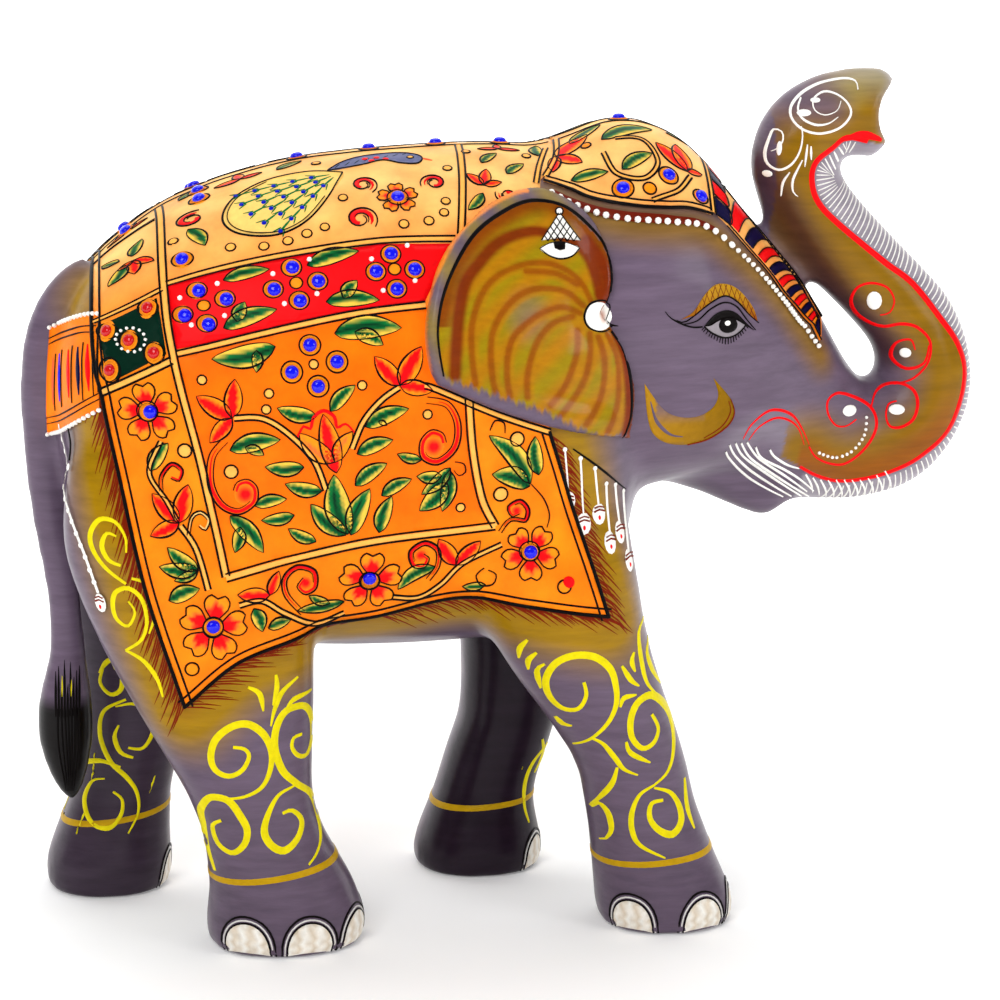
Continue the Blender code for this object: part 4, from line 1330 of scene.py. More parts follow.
# white drops among the scrolls: the middle, the size and the stretch across and up
SCROLL_DROPS = [
    ((83.7, 127.9), 1.9, (1.3, 0.75)), ((97.1, 127), 1.7, (1.2, 0.8)),
    ((91.2, 154.4), 2.0, (0.95, 1.25)), ((99.6, 141), 1.4, (1.1, 0.9)),
]
TIP_DROPS = [
    ((72.6, 201.2), 1.3, (1.4, 0.7)), ((66.6, 192.6), 1.2, (0.6, 1.5)),
    ((64.2, 186.2), 1.2, (1.4, 0.7)), ((75.6, 204.2), 0.9, (1.4, 0.8)),
]
TRUNK_WRAP = 10.0  # the radius of the trunk chart's arcs
RIB_PITCH = 1.45
RIB_BEND = 27.0  # up to here along the red edge the ribs leave out the middle of the trunk's tight bend


def across_trunk(canvas):
    """A chart of the trunk's front and underside: v along the red edge, u across it in arcs."""
    line = np.array(through(RED_EDGE, 0.4))
    along, gone = headings(line), gone_along(line)

    def place(u, v):
        x, z = np.interp(v, gone, line[:, 0]), np.interp(v, gone, line[:, 1]) - SOLE
        a, b = np.interp(v, gone, along[:, 0]), np.interp(v, gone, along[:, 1])
        turn = u / TRUNK_WRAP
        out = Vector((-b * math.cos(turn), -math.sin(turn), a * math.cos(turn))).normalized()
        reach = np.interp(z, (160, 172), (24, 12.5))  # shorter inside the trunk's upper bend
        return canvas.cast(Vector((x, 0, z)) + out * reach, -out)

    place.flip = True
    return place, gone[-1]


def ribs(canvas, look):
    """White ribs painted across the grey front of the trunk."""
    chart, length = across_trunk(canvas)
    paint = Paint(0.0)
    for k in range(2, int(length / RIB_PITCH) - 6):
        v = k * RIB_PITCH
        parts = ((-14.6, -7, 7, 14.6),) if v >= RIB_BEND else ((-14.6, -9), (9, 14.6))
        for part in parts:
            rib = [(u, v) for u in part]
            paint.stroke(chart, rib, 0.62, mix(WHITE, LILAC, 0.12), 0.12, (0.6, 0.6))
    paint.piece("trunk_ribs", look, "painted_wood")


def trunk_pattern(canvas, side, look):
    """The trunk's red edge and scrolls, its white scrolls near the tip and the lines at the mouth."""
    drawn = Pattern(side_view(canvas, side), 0.0)
    drawn.tinted(RED_EDGE, 1.8, RED, 0.2, (0.9, 0.5))
    drawn.tinted([(92.4, 194.2), (87.6, 195.6), (82.2, 194.2)], 2.5, RED, 0.22, (0.4, 0.2))
    for line in RED_SCROLLS:
        drawn.tinted(line, 1.0, RED, 0.16, (0.5, 0.4))
    for at, size, stretch in SCROLL_DROPS:
        drawn.dot(at, size, WHITE, 0.3, 14, stretch, 0.3)
    beads = [(88.7, 125.6), (87.9, 121.4), (84.6, 117.6), (80, 116.3), (75.4, 118)]
    drawn.beads(beads, 1.35, 0.42, height=0.35)
    for line in WHITE_SCROLLS:
        drawn.inked([(x + 1.3, z) for x, z in line], 0.62, WHITE, 0.16, (0.5, 0.3))
    for at, size, stretch in TIP_DROPS:
        drawn.dot(at, size, WHITE, 0.25, 12, stretch, 0.2)
    drawn.pieces("trunk", side, look)


def mouth_pattern(canvas, side, look):
    """The red double arch over the mouth and the white creases at its corner."""
    drawn = Pattern(wrapped(canvas, side), 0.0)
    outer = [(54.3, -26.5), (55.7, -22.8), (59.4, -19.6), (63, -19.4), (67, -21.3), (70, -25.1)]
    inner = [(55.9, -26.9), (57.8, -23.6), (61.7, -21.5), (65.4, -22.1), (68.8, -24.7), (71, -29.4)]
    drawn.brush([*outer, (72.4, -29.5)], 0.9, RED)
    drawn.brush(inner, 0.7, RED)
    for line in MOUTH_CREASES:
        drawn.inked(line, 0.62, WHITE, 0.15, (0.8, 0.4))
    for k in range(11):
        x = 73 + 2.1 * k
        start = -40.4 - 0.3 * math.sin(k) + 0.02 * (x - 84) ** 2
        crease = [(x, start), (x + 2.2, start - 3.2), (x + 3.6, start - 6)]
        drawn.inked(crease, 0.5, WHITE, 0.12, (0.8, 0.3))
    drawn.pieces("mouth", side, look)


# ---- the legs and tail ----

LEGS = [name for name in WOOD if name.startswith("leg")]
LEG_HEIGHTS = np.arange(3.0, 58.0, 6.0)  # where the middles of the legs are measured
LEG_WRAP = 17.0  # the radius of the chart round a leg
LEG_OUT = 26.0  # how far out a leg's own surface is looked for
GAP = 7.0  # how far from the middle the rays to the inner faces start
NAILS = {"rear": (-38, 14, 62, 110), "front": (-40, 25, 74, 122)}  # degrees from the outer face
# the way the hairs lie along the cloth's foot, each up to an x
HAIR_WAYS = ((-62, (9.0, -0.6)), (-38, (-7.5, -2.6)), (-6, (8.2, -4.4)), (20, (7.6, -4.6)))
REAR_SWIRLS = [
    [
        (-73.4, 56.4), (-70.7, 55.8), (-69.6, 53.8), (-71.2, 50.5), (-74.4, 49), (-77.5, 50.5),
        (-78.6, 54), (-77.5, 58.4), (-73.9, 61.5), (-69.8, 62), (-66.1, 59.2), (-64.2, 54.7),
        (-64.5, 49.9), (-66.6, 45.8), (-70.8, 43.6), (-75.7, 43),
    ],
    [
        (-76.1, 37.2), (-78, 35.5), (-77.3, 31.7), (-75.6, 29.6), (-73.2, 29.1), (-70.7, 31.8),
        (-70.2, 35.3), (-71.7, 38.6), (-73.9, 42), (-76.2, 43.2), (-79, 42.8), (-80.6, 39.1),
        (-79.9, 34.5), (-78.8, 28.1), (-77.4, 23),
    ],
    [
        (-56.3, 57.2), (-58.4, 56.9), (-58.9, 54.6), (-57.2, 52.1), (-54.8, 51.6), (-53.2, 54.6),
        (-53.2, 59), (-54.2, 62.4), (-56.3, 64.4), (-60.3, 64.1), (-62.7, 60.7), (-63.3, 55.5),
        (-61.4, 49.4), (-58, 45.5), (-54, 41.4), (-52, 35), (-51.7, 30.5), (-53.1, 27.6),
        (-55.4, 25.4),
    ],
    [
        (-61.6, 38.7), (-59.1, 39), (-56.7, 36), (-57.8, 32.2), (-61.3, 29.6), (-64.5, 31.2),
        (-66.1, 34.7), (-64.9, 39.4), (-62.4, 43.4), (-58.5, 44.9),
    ],
    [(-57.2, 71.8), (-61.2, 69), (-63.2, 65), (-64.2, 60.9)],
    [(-53.4, 67.1), (-58.3, 66.5), (-60.5, 64.1)],
    [(-69.7, 71.2), (-66.9, 69.3), (-66, 64.9)],
    [(-62.8, 73.5), (-62.6, 70.2), (-63.6, 66)],
]
FRONT_SWIRLS = [
    [
        (11.4, 68.6), (12.1, 65), (10.4, 61.4), (6.9, 61.2), (3.9, 64.2), (2.7, 68.8), (4.5, 73.3),
        (8.7, 75.4), (13.8, 74.9), (17.8, 71.7), (19.4, 67), (19.5, 62.3), (17.6, 57.7),
        (14.1, 53.5), (10.6, 50.8),
    ],
    [(14.1, 53.5), (16.8, 52.1), (19.7, 48.5), (22, 45.5), (25.4, 43.9)],
    [(20.4, 46), (19.5, 41.6), (16.9, 36.8), (15.8, 34.4)],
    [(15.8, 33.7), (17, 35.5), (18.9, 33.4), (19.7, 29.3), (18.6, 26.4), (17.6, 25.8)],
    [
        (29, 58.8), (30.8, 55.1), (29.5, 51.8), (26.4, 50.7), (23.7, 53.8), (23.4, 58.5),
        (25.2, 62.3), (29.2, 63.3), (33.6, 59.3), (35.5, 54.4), (35.1, 48.4), (33.2, 43.9),
        (29.5, 41),
    ],
    [(29.5, 41), (26.1, 38.9), (24.3, 34.7), (24.2, 30), (26.1, 26), (32.3, 22.6)],
    [
        (31.9, 37), (29, 36.4), (28.5, 32.9), (30.6, 29.8), (34.2, 28.3), (36.7, 30.9),
        (36.3, 34.9), (33.8, 38.7), (29.5, 40.4),
    ],
    [(20.9, 72), (23.3, 68.2), (25.6, 66.3)],
    [(24.4, 74.7), (23.7, 72.6), (24.6, 69.9)],
    [(20.6, 61.7), (21.5, 63.9), (24.8, 64.3)],
    [(22.3, 52.7), (23.5, 49.7), (28.5, 46.9)],
    [(-2, 79.2), (-3.4, 76.7), (-3.4, 73.7)],
    [(0.2, 76), (-1.4, 73.7), (-1.2, 70.9)],
    [(2.2, 73.1), (0.6, 71.1), (1.9, 66)],
    [(5.9, 58.2), (7.7, 56.4), (9.6, 56.4)],
    [(28.4, 81.4), (26.1, 79.1), (26.5, 72.5), (27.9, 66.7), (31, 62.8)],
    [(29.8, 76.2), (28.6, 73.5), (29.9, 69.2), (32.9, 64.4)],
    [(38.4, 41), (38.8, 34), (40.6, 28.4)],
]
REAR_INNER = [
    [
        (-95.2, 55), (-100.6, 51.6), (-101.7, 45), (-99.4, 38.4), (-95.4, 34.2), (-92.9, 30),
        (-92.7, 24.8), (-95.4, 19.7),
    ],
    [(-96.9, 36.9), (-101.9, 38.3), (-107, 36.1), (-109.4, 33.2)],
    [
        (-98.9, 30.5), (-96.7, 28.4), (-97.2, 24.4), (-100.4, 21.3), (-104.6, 22.6), (-106, 27.5),
        (-103.9, 32.7), (-100.8, 33.8),
    ],
    [(-93.7, 39.4), (-96.8, 40.9), (-98.2, 44.9), (-97.1, 48.1)],
    [(-94.9, 42.1), (-91.1, 41.9), (-88.5, 46.4), (-89.3, 51.7), (-93.4, 53.8), (-97.8, 53)],
    [
        (-100.7, 62.6), (-101.4, 58.8), (-99, 56.1), (-96.4, 57.6), (-96.1, 61.8), (-97.8, 63.7),
        (-94.4, 64.3), (-91.6, 59.6), (-92.4, 55.4),
    ],
    [(-95.6, 66.3), (-99.4, 64.8), (-101.6, 61.4)],
    [(-106.6, 40.3), (-108.2, 36.2)],
    [(-111.4, 20.6), (-110.8, 24.5), (-109.2, 27.3)],
]
FRONT_INNER = [
    [(14.5, 35.8), (10.1, 32.3), (7.7, 27), (7.5, 20.5), (8.8, 15.6)],
    [(12.3, 38), (13, 33), (10.5, 28.5)],
]
FLANK_SWIRLS = [
    [
        (-97.7, -53), (-102.2, -49.5), (-105, -45.4), (-105.5, -41.5), (-103.3, -38.1),
        (-99.8, -38.5), (-97.6, -41.9), (-97.5, -45.5),
    ],
    [
        (-97.9, -69.8), (-94.3, -66.5), (-93.1, -61.9), (-94.2, -56.5), (-97.3, -54),
        (-100.2, -55.3), (-100.8, -58.7), (-99.9, -62), (-97.4, -63.4), (-95.8, -59.8),
        (-97.3, -57.2),
    ],
    [(-97.9, -69.8), (-93.9, -72.1), (-90.9, -76.4), (-89.6, -81)],
    [(-98.8, -48.6), (-101.6, -47.4), (-103, -44.2), (-101.8, -41.2), (-99.6, -41.8)],
    [(-96.4, -51.6), (-93.4, -52.6), (-91.4, -56), (-91.2, -60.4), (-92.6, -65)],
]


def leg_axis(name):
    """A leg's middle, x and y, at each of LEG_HEIGHTS."""
    places = rows_of(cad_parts[name].data) / MM
    found = []
    for height in LEG_HEIGHTS:
        ring = places[np.abs(places[:, 2] - height) < 6]  # the points of this stretch of the leg
        found.append((ring.min(0)[:2] + ring.max(0)[:2]) / 2)
    return np.array(found).T


def leg_view(canvas, name):
    """A chart of a leg's outer face: x as on the right leg and z up."""
    side = -1 if name.endswith("right") else 1
    own, right = leg_axis(name)[0], leg_axis(name.replace("left", "right"))[0]
    shifts = np.append(own - right, 0)
    heights = np.append(LEG_HEIGHTS, 84)

    def place(x, z):
        x += np.interp(z, heights, shifts)
        found = canvas.cast(Vector((x, side * REACH, z - SOLE)), Vector((0, -side, 0)))
        if found[0].y * side < 0:  # the ray went past this leg and met the other side's
            found = canvas.near(Vector((x, side * LEG_OUT, z - SOLE)))
        return found

    place.flip = side > 0
    return place


def inner_view(canvas, name):
    """A chart of a leg's inner face, seen from the elephant's middle: x as on the left leg and z up."""
    side = -1 if name.endswith("right") else 1
    own, left = leg_axis(name), leg_axis(name.replace("right", "left"))

    def place(x, z):
        x += np.interp(z, LEG_HEIGHTS, own[0] - left[0])
        found = canvas.cast(Vector((x, side * GAP, z - SOLE)), Vector((0, side, 0)))
        if abs(found[0].y) > abs(np.interp(z, LEG_HEIGHTS, own[1])) * MM:  # it met no inner face
            found = canvas.near(Vector((x, side * 1.6 * GAP, z - SOLE)))
        return found

    place.flip = side < 0
    return place


def around_leg(canvas, name):
    """A chart round a leg: u from its outer face towards its front, v up."""
    side = -1 if name.endswith("right") else 1
    x, y = leg_axis(name)

    def place(u, z):
        centre = Vector((np.interp(z, LEG_HEIGHTS, x), np.interp(z, LEG_HEIGHTS, y), z))
        out = Vector((math.sin(u / LEG_WRAP), side * math.cos(u / LEG_WRAP), 0))
        return canvas.cast(centre + out * 24, -out)

    place.flip = side > 0
    return place


def leg_pattern(canvas, name, look):
    """Yellow swirls, a dull gold ankle band and white nails under double black arcs."""
    rear = "rear" in name
    swirls = Pattern(leg_view(canvas, name), 0.0)
    for line in REAR_SWIRLS if rear else FRONT_SWIRLS:
        swirls.brush(line, 2.2 if len(line) > 6 else 1.6, YELLOW, (0.45, 0.3))
    chart = around_leg(canvas, name)
    for line in REAR_INNER if rear else FRONT_INNER:
        swirls.tint.stroke(inner_view(canvas, name), line, 1.5, YELLOW, taper=(0.5, 0.3))
    middle, slope = (20, 2.0) if rear else (18.4, 1.0)  # the band's height and how far it tilts
    band = [(LEG_WRAP * a, middle + slope * math.sin(a)) for a in np.linspace(-math.pi, math.pi, 60)]
    swirls.tint.stroke(chart, band, 1.9, BAND_GOLD, 0.15, smooth=False)
    half, top = 5.6, 8.6
    for degrees in NAILS["rear" if rear else "front"]:
        centre = math.radians(degrees) * LEG_WRAP
        swirls.tint.fill(chart, arch(centre, half, top), nail_colour, 0.12, 1.2)
        swirls.ink.stroke(chart, arch(centre, half + 0.1, top + 0.1), 0.5, BLACK, smooth=False)
        between = arch(centre, half + 0.7, top + 0.8)
        swirls.tint.stroke(chart, between, 0.5, mix(WHITE, LILAC, 0.3), smooth=False)
        swirls.ink.stroke(chart, arch(centre, half + 1.4, top + 1.7), 0.55, BLACK, smooth=False)
    for part, kind in ((swirls.tint, "_swirls"), (swirls.ink, "_lines")):
        part.piece(name + kind, look, "painted_wood")


def arch(centre, half, top, foot=0.6, count=16):
    """A toenail's outline, from foot to foot over its top."""
    turns = (math.pi * k / count for k in range(count + 1))
    return [(centre - half * math.cos(a), foot + (top - foot) * math.sin(a) ** 0.8) for a in turns]


def nail_colour(u, v):
    return mix(WHITE, NAIL_STAIN, 0.35 + 0.3 * np.sin(1.7 * u + np.sin(2.1 * v)))


def flank_pattern(canvas, side, look):
    """Yellow swirls on the flank behind the cloth."""
    drawn = Pattern(wrapped(canvas, side), 0.0)
    for line in FLANK_SWIRLS:
        drawn.brush(line, 1.35, YELLOW, (0.6, 0.4))
    drawn.pieces("flank", side, look)


def hairs(canvas, side, look):
    """Dark red brush hairs round the cloth; the way they lie changes along its foot, at HAIR_WAYS."""
    drawn = Pattern(wrapped(canvas, side), 0.0)
    rear, foot, front = (np.array(through(run, 0.4)) for run in CLOTH_RUNS[:3])
    runs = ((rear[180:], 0.95, (-2.6, -9.5)), (foot, 1.0, None), (front, 0.95, (6.4, -6.2)))
    for line, pitch, way in runs:
        gone = gone_along(line)
        for k in range(int(gone[-1] / pitch)):
            x, v = line[np.searchsorted(gone, k * pitch)]
            along, down = way or next(own for end, own in HAIR_WAYS if x < end)
            grow = 0.8 + 0.35 * math.sin(2.4 * k) + 0.2 * math.sin(5.1 * k)
            tip = (x + along * grow, v + down * grow)
            bend = (x + along * grow * 0.5 + 0.3, v + down * grow * 0.5 + 0.3)
            drawn.tinted([(x, v), bend, tip], 0.55, RUST, 0.06, (0.9, 0.15), 1.6)
    drawn.pieces("hairs", side, look)


def tail_hairs(canvas, look):
    """Black brush hairs at the tail's tuft, with two yellow strokes over them."""
    paint = Paint(0.0)
    for side in (-1, 1):
        chart = side_view(canvas, side)
        for k in range(9):
            x = -113.4 + 0.72 * k
            top = 67 + 3 * math.sin(2.7 * k)
            hair = [(x + 0.3, top), (x + 0.1, 62), (x - 0.1, 56)]
            paint.stroke(chart, hair, 0.75, BLACK, 0.15, (0.1, 0.8))
        for x, top in ((-111.6, 66), (-109.4, 65)):
            paint.stroke(chart, [(x, top), (x - 0.2, 61)], 0.45, YELLOW, 0.2, (0.2, 0.3))
        for k in range(7):
            x = -113 + 0.85 * k
            hair = [(x, 58), (x + 0.25 * math.sin(k), 48), (-110.4 + 0.3 * (k - 3), 36)]
            paint.stroke(chart, hair, 0.55, BLACK, 0.3)
    paint.piece("tail_hairs", look, "painted_wood")


def quarter_view(canvas, side):
    """A chart seen from behind and beside: u forward and outward from the middle, z up."""
    slant = 0.5**0.5
    out, across = Vector((-slant, side * slant, 0)), Vector((slant, side * slant, 0))

    def place(u, z):
        return canvas.cast(across * u + out * REACH + Vector((0, 0, z - SOLE)), -out)

    place.flip = side > 0
    return place


RUMP_TOP = [(-75.4, 152.6), (-71.6, 153.9), (-64, 156.2), (-58.8, 157.6), (-54.2, 158.2)]
RUMP_FOOT = [(-49.4, 137), (-58.9, 132.3), (-68, 128.8), (-76.4, 126.6)]
FEATHERS = (((-55.5, 151.4), (-52.8, 141), RED), ((-58.9, 150.4), (-56.2, 139.7), NAVY))
FEATHERS += (((-63, 149.2), (-60.7, 138.4), RED), ((-68.4, 147.4), (-66.6, 136.4), BLUE))
FEATHERS += (((-73, 145.6), (-72.2, 134.4), CORAL),)


def rump(canvas, side, look):
    end = [RUMP_TOP[-1], (-51.8, 150), (-49.8, 141), RUMP_FOOT[0]]
    edge = corners(RUMP_TOP, end, RUMP_FOOT, [RUMP_FOOT[-1], RUMP_TOP[0]], step=1.2)
    return gold_sheet("rump", quarter_view(canvas, side), side, look, edge, 1.6, mix(GOLD, ORANGE, 0.4))


def rump_pattern(canvas, side, look):
    """The gold rump panel's feathers and beaded edges, and the bead string that hangs from it."""
    drawn = Pattern(quarter_view(canvas, side), CLOTH_LEVEL + 0.04)
    for down in (2.6, 4.0):
        drawn.line([(u, z - down) for u, z in RUMP_TOP], 0.4)
        drawn.line([(u, z + down) for u, z in RUMP_FOOT], 0.4)
    for top, foot, colour in FEATHERS:
        drawn.tinted([top, mid(top, foot), foot], 1.9, colour, 0.12, (0.2, 0.1))
        drawn.line([(top[0] + 1.8, top[1] + 1.2), (foot[0] + 1.7, foot[1] - 1)], 0.35)
    drawn.beads(RUMP_TOP, 1.5, 0.55)
    drawn.beads(RUMP_FOOT, 1.7, 0.55)
    drawn.line([(-49.8, 141), (-51.8, 150), (-54.2, 158)], 0.6)
    string = [(-68.2, 130), (-63, 121.6), (-55.6, 113), (-50, 103.6), (-47, 94.4)]
    drawn.inked(string, 0.75, WHITE, -0.3, (0.6, 1))
    drawn.beads(string, 3.0, 0.7, height=-0.1)
    bell(drawn, (-46.8, 92), 2.4)
    drawn.line([(-61.6, 131.6), (-58, 123.8)], 0.9, taper=(0.4, 1))
    drawn.dot((-57.6, 122.6), 0.9, WHITE, 0.2, 10)
    drawn.pieces("rump", side, look, "gold_gesso")


def bell(drawn, at, size):
    """A small painted bell: white, with a red mouth."""
    x, v = at
    drawn.boss(at, size * 0.75, WHITE, 0.3, 12, (0.9, 1.35), 0.4)
    drawn.inked([(x - size * 0.5, v + 0.4), (x, v + 0.9), (x + size * 0.5, v + 0.4)], 0.6, RUST, 0.3)
    drawn.inked([(x - size * 0.45, v + 1.3), (x, v + 1.7), (x + size * 0.45, v + 1.3)], 0.45, RUST, 0.3)
    drawn.dot((x, v - size * 0.35), 0.5, RED, 0.45, 8, (0.8, 1.3))


def necklace(canvas, side, look):
    """Bells on white strings below the throat's black line."""
    drawn = Pattern(wrapped(canvas, side), 0.0)
    drawn.line([(8.4, -24), (15.7, -29.6), (23.7, -36.7)], 0.6)
    strings = [
        ((6.4, -24), (7.6, -35.4)), ((10.4, -26.5), (11.6, -41)), ((14.3, -29.4), (15.6, -39)),
        ((17.6, -33.8), (18.4, -46.2)), ((20.3, -34.6), (21.4, -44.4)),
        ((23, -36.9), (23.8, -51.6)),
    ]
    for top, foot in strings:
        drawn.inked([top, foot], 0.5, WHITE, 0.15, (1, 0.8))
        drawn.dot(top, 0.6, WHITE, 0.3, 8)
        bell(drawn, (foot[0], foot[1] - 1.8), 2.8)
    drawn.pieces("necklace", side, look)


# ---- set stones ----

RED_STONES = ((-90.3, 14.4), (-94.9, 4.3), (-99.6, 7.5), (-89.5, 0.9), (-99.4, -3.7))
BLUE_STONES = ((-54, 2.8), (-47.9, -1.2), (-58.4, -3.4), (-52.4, -6.7), (-30.8, 41.3), (-76.2, 55.7))
BLUE_STONES += ((-81.8, 29.3), (-93, 64.8), (-75.9, 63.8))
RIDGE_STONES = (-51.5, -34, -17.6, -1.7, 28)


def settings(drawn, side):
    """Rims for the frame's stones and smaller stones set between them."""
    for name in STONES:
        if ("_right_" in name) == (side < 0):
            low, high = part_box(name)
            middle = (Vector(low) + Vector(high)) / 2 / MM
            up = middle.z - AXIS_Z
            drawn.setting((middle.x, up if up < 0 else WRAP * math.atan2(up, abs(middle.y))), 2.35)
    for at in RED_STONES:
        drawn.setting(at, 2.3, 1.2)
        drawn.gem(at, 1.45, "red")
    for at in BLUE_STONES:
        drawn.setting(at, 2.5)
        drawn.gem(at)
    if side < 0:
        for x in RIDGE_STONES:
            drawn.setting((x, RIDGE), 2.4)
            drawn.gem((x, RIDGE))


def set_stones(canvas, look):
    """A cut gem in place of each plain stone."""
    for name in STONES:
        low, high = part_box(name)
        middle = (Vector(low) + Vector(high)) / 2
        found = canvas.near(middle / MM)
        gem = Paint(0.9)
        gem.dome(lambda *_: found, (0, 0), 1.62, BLUE, 1.0, 20)
        made = gem.piece("gem_" + name, look, "blue_glass")
        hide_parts(name)


# ---- colours of the skin ----


def near_line(places, chart, line, width):
    """Weights that fall from 1 on a line of chart places to 0 at a distance of width."""
    marks = [np.array(chart(*at)[0]) / MM for at in line]
    return soft(1 - distance_to(places, marks) / width)


def colour_skin(skin, look):
    """Lilac, with painted shade towards the bottom, on the faces that turn in between the legs and in the
    trunk's inner bend, and gold, rust and grey brushed round the painted parts.
    """
    places = rows_of(skin.data) / MM
    normals = rows_of(skin.data, "normal")
    x, y, z = places.T
    z = z + SOLE
    bare = Canvas([skin])
    colours = np.tile(LILAC, (len(places), 1))

    def blend(colour, weight):
        colours[:] = colours * (1 - weight[:, None]) + colour * weight[:, None]

    # painted shade: the lilac darkens towards the bottom
    blend(PAINTED_SHADE_PLUM, soft((60 - z) / 60) * 0.2)
    # painted shade on the faces that turn in between the legs, below the cloth, strongest on the front
    # legs
    inward = -normals[:, 1] * np.sign(y)
    blend(PAINTED_SHADE_PLUM, soft((inward + 0.15) / 0.45) * soft((96 - z) / 14) * np.where(x > -40, 0.97, 0.7))
    for side in (-1, 1):
        body = wrapped(bare, side)
        own = (y * side > -2).astype(float)
        edge = np.concatenate([through(run, 1.0) for run in CLOTH_RUNS[:3]])[40:]
        blend(FRINGE, np.minimum(1, 1.5 * near_line(places, body, edge, 19)) * own)
        blend(RUST, near_line(places, body, edge, 5) * 0.25 * own)
        beaded = through([(u, v - 1) for u, v in HEAD_BEADS], 1.0)
        blend(OLIVE, near_line(places, body, beaded, 9) * 0.85 * own)
        throat = through([(54, -26), (60, -24), (66, -26), (70, -31)], 1.0)
        blend(PALE_LILAC, near_line(places, body, throat, 9) * 0.25 * own)
    red = np.array(through(RED_EDGE, 0.5))
    flat = places[:, [0, 2]] + (0, SOLE)
    trunk = soft((x - 60) / 8) * (z > 104) * (np.abs(y) < 26)
    steps = [((flat - p) ** 2).sum(1) for p in red]
    nearest = np.argmin(steps, axis=0)
    far = np.sqrt(np.min(steps, axis=0))
    along = np.gradient(red, axis=0)
    off = flat - red[nearest]
    front = along[nearest, 0] * off[:, 1] - along[nearest, 1] * off[:, 0] > 0
    blend(OLIVE, soft(1.6 - far / 12) * ~front * trunk * (x > 66))
    blend(OCHRE, soft(1.4 - far / 7) * ~front * trunk * 0.7 * soft((136 - z) / 16) * (x > 70))
    blend(PALE_LILAC, (front & (far < 20)) * trunk * 0.55 * soft(far / 1.5) * (x > 72))
    # painted shade in the hollow of the trunk's upper bend
    inner_bend = [(60, 190), (66, 182), (72, 172), (78, 163), (86, 152), (96, 141)]
    blend(BEND_SHADE_PLUM, near_xz(flat, inner_bend, 7) * 0.8)
    blend(PALE_OLIVE, near_xz(flat, [(84, 207), (90, 210), (93, 209)], 8) * 0.3)
    blend(LILAC, near_xz(flat, [(70, 206), (75, 203.5), (79, 203)], 8.5) * 0.8)
    blend(PALE_LILAC, near_xz(flat, [(97, 208), (94.4, 203), (94.6, 197), (97, 193)], 4.6) * 0.6)
    tuft = soft((62 - z) / 5) * (x < -104) * (np.abs(y) < 8)
    blend(BLACK, tuft * soft((z - 30) / 4))
    colour_points(skin.data, colours)
    skin.data.materials.clear()
    skin.data.materials.append(look)


def near_xz(flat, line, width):
    """The same weights for places and a line given by x and z alone."""
    return soft(1 - distance_to(flat, through(line, 1.0)) / width)


PARTS = (cap_pattern, forehead_pattern, rump_pattern, face_pattern, mouth_pattern, trunk_pattern)
PARTS += (flank_pattern, hairs, necklace)


# ---- the room ----

ROOM_GLOW = 0.3
FLOOR_GLOW = 0.2  # the floor's own light under the elephant; away from it the light rises to 1
AIM = (-0.0016, 0, 0.102)  # what the camera looks at
LIT = (0, 0, 0.1)  # what the lamps point at


def room():
    """A dim room whose white floor and backdrop light themselves away from the elephant."""
    square = [[0, 1, 2, 3]]
    floor = mesh_object("floor", [(-9, -2, 0), (9, -2, 0), (9, 3, 0), (-9, 3, 0)], square)
    backdrop = mesh_object("backdrop", [(-9, 3, -1), (9, 3, -1), (9, 3, 9), (-9, 3, 9)], square)
    for piece in (floor, backdrop):
        look, tree, shader = principled(piece.name + "_white", 0.8, specular=0.0)
        set_inputs(shader, {"Base Color": (0.85, 0.85, 0.85, 1), "Emission Color": (1, 1, 1, 1)})
        place = node(tree, "NewGeometry")
        length = node(tree, "VectorMath")
        length.operation = "LENGTH"
        ends = {"From Min": 0.05, "From Max": 0.6, "To Min": FLOOR_GLOW, "To Max": 1.0}
        glow = node(tree, "MapRange", ends)
        glow.interpolation_type = "SMOOTHSTEP"
        wire(
            tree,
            (place, "Position", length, 0),
            (length, "Value", glow, "Value"),
            (glow, "Result", shader, "Emission Strength"),
        )
        piece.data.materials.append(look)
    floor.location.z = -0.0002
    world = bpy.data.worlds.new("studio")
    bpy.context.scene.world = world
    world.use_nodes = True
    background = world.node_tree.nodes["Background"]
    set_inputs(background, {"Color": (1, 1, 1, 1), "Strength": ROOM_GLOW})


def light(name, place, size, power):
    data = bpy.data.lights.new(name, "AREA")
    data.size = size
    data.energy = power
    lamp = in_scene(name, data)
    lamp.location = place
    lamp.rotation_euler = (Vector(LIT) - Vector(place)).to_track_quat("-Z", "Y").to_euler()


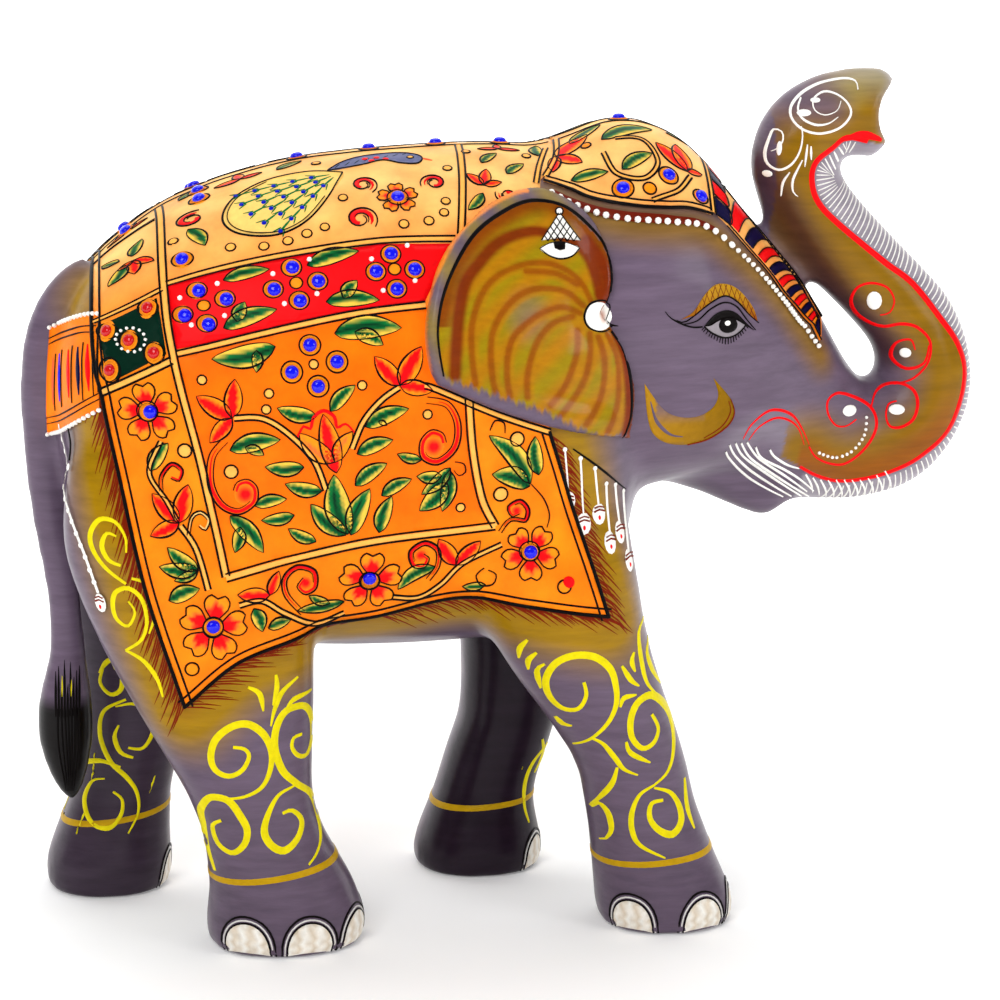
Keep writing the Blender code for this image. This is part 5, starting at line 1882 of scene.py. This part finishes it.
def camera(azimuth=-10.0, elevation=12.0, distance=0.85, frame_width=0.25):
    """A camera turned in degrees round what it looks at, with the metres it is away and takes in."""
    a, e = math.radians(azimuth), math.radians(elevation)
    out = Vector((math.sin(a) * math.cos(e), -math.cos(a) * math.cos(e), math.sin(e)))
    data = bpy.data.cameras.new("camera")
    data.sensor_width = 36.0
    data.lens = data.sensor_width * distance / frame_width
    eye = in_scene("camera", data)
    eye.location = Vector(AIM) + out * distance
    eye.rotation_euler = (-out).to_track_quat("-Z", "Y").to_euler()
    bpy.context.scene.camera = eye


camera()
room()
light("key", (-0.55, -1.0, 0.9), size=0.6, power=8.5)
light("fill", (0.9, -0.9, 0.5), size=0.4, power=4)
light("top", (0.0, 0.2, 1.3), size=0.9, power=6)
bpy.context.scene.view_settings.view_transform = "Standard"

skin_look = painted("lilac_paint", 0.3, 0.05, (55, 140, 420), streak_depth=0.18, bump=0.25, specular=0.12)
paint_look = painted("line_paint", 0.38, 0.0, (500, 500, 500), streak_depth=0.1, bump=0.1)
gold_look = painted("gold_paint", 0.4, 0.0, (110, 110, 110), streak_depth=0.18, bump=0.3)
ear_look = painted("ear_brushwork", 0.34, 0.15, (300, 300, 700), streak_depth=0.12, bump=0.2)
GLASS |= {"blue": glass("blue_glass", BLUE), "red": glass("red_glass", rgb(190, 4, 16))}

skin = wooden_skin()
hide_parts(*WOOD, *PEGS)
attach(skin, "root")
colour_skin(skin, skin_look)
wood = Canvas([skin])
ears = [ear(wood, side, ear_look) for side in (-1, 1)]
canvas = Canvas([skin, *ears])
for layer, nodes in (
    (cloth, ["saddle_cloth"]),
    (cap, ["head_cap"]),
    (forehead, ["forehead_strip"]),
    (rump, ["rump_panel_right", "rump_panel_left"]),
):
    halves = [layer(wood, side, gold_look) for side in (-1, 1)]
    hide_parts(*nodes)
for side in (-1, 1):
    ear_pattern(canvas, side, paint_look)
    cloth_pattern(wood, side, paint_look)
    for part in PARTS:
        part(wood, side, paint_look)
for name in LEGS:
    leg_pattern(wood, name, paint_look)
ribs(wood, paint_look)
tail_hairs(wood, paint_look)
set_stones(wood, GLASS["blue"])
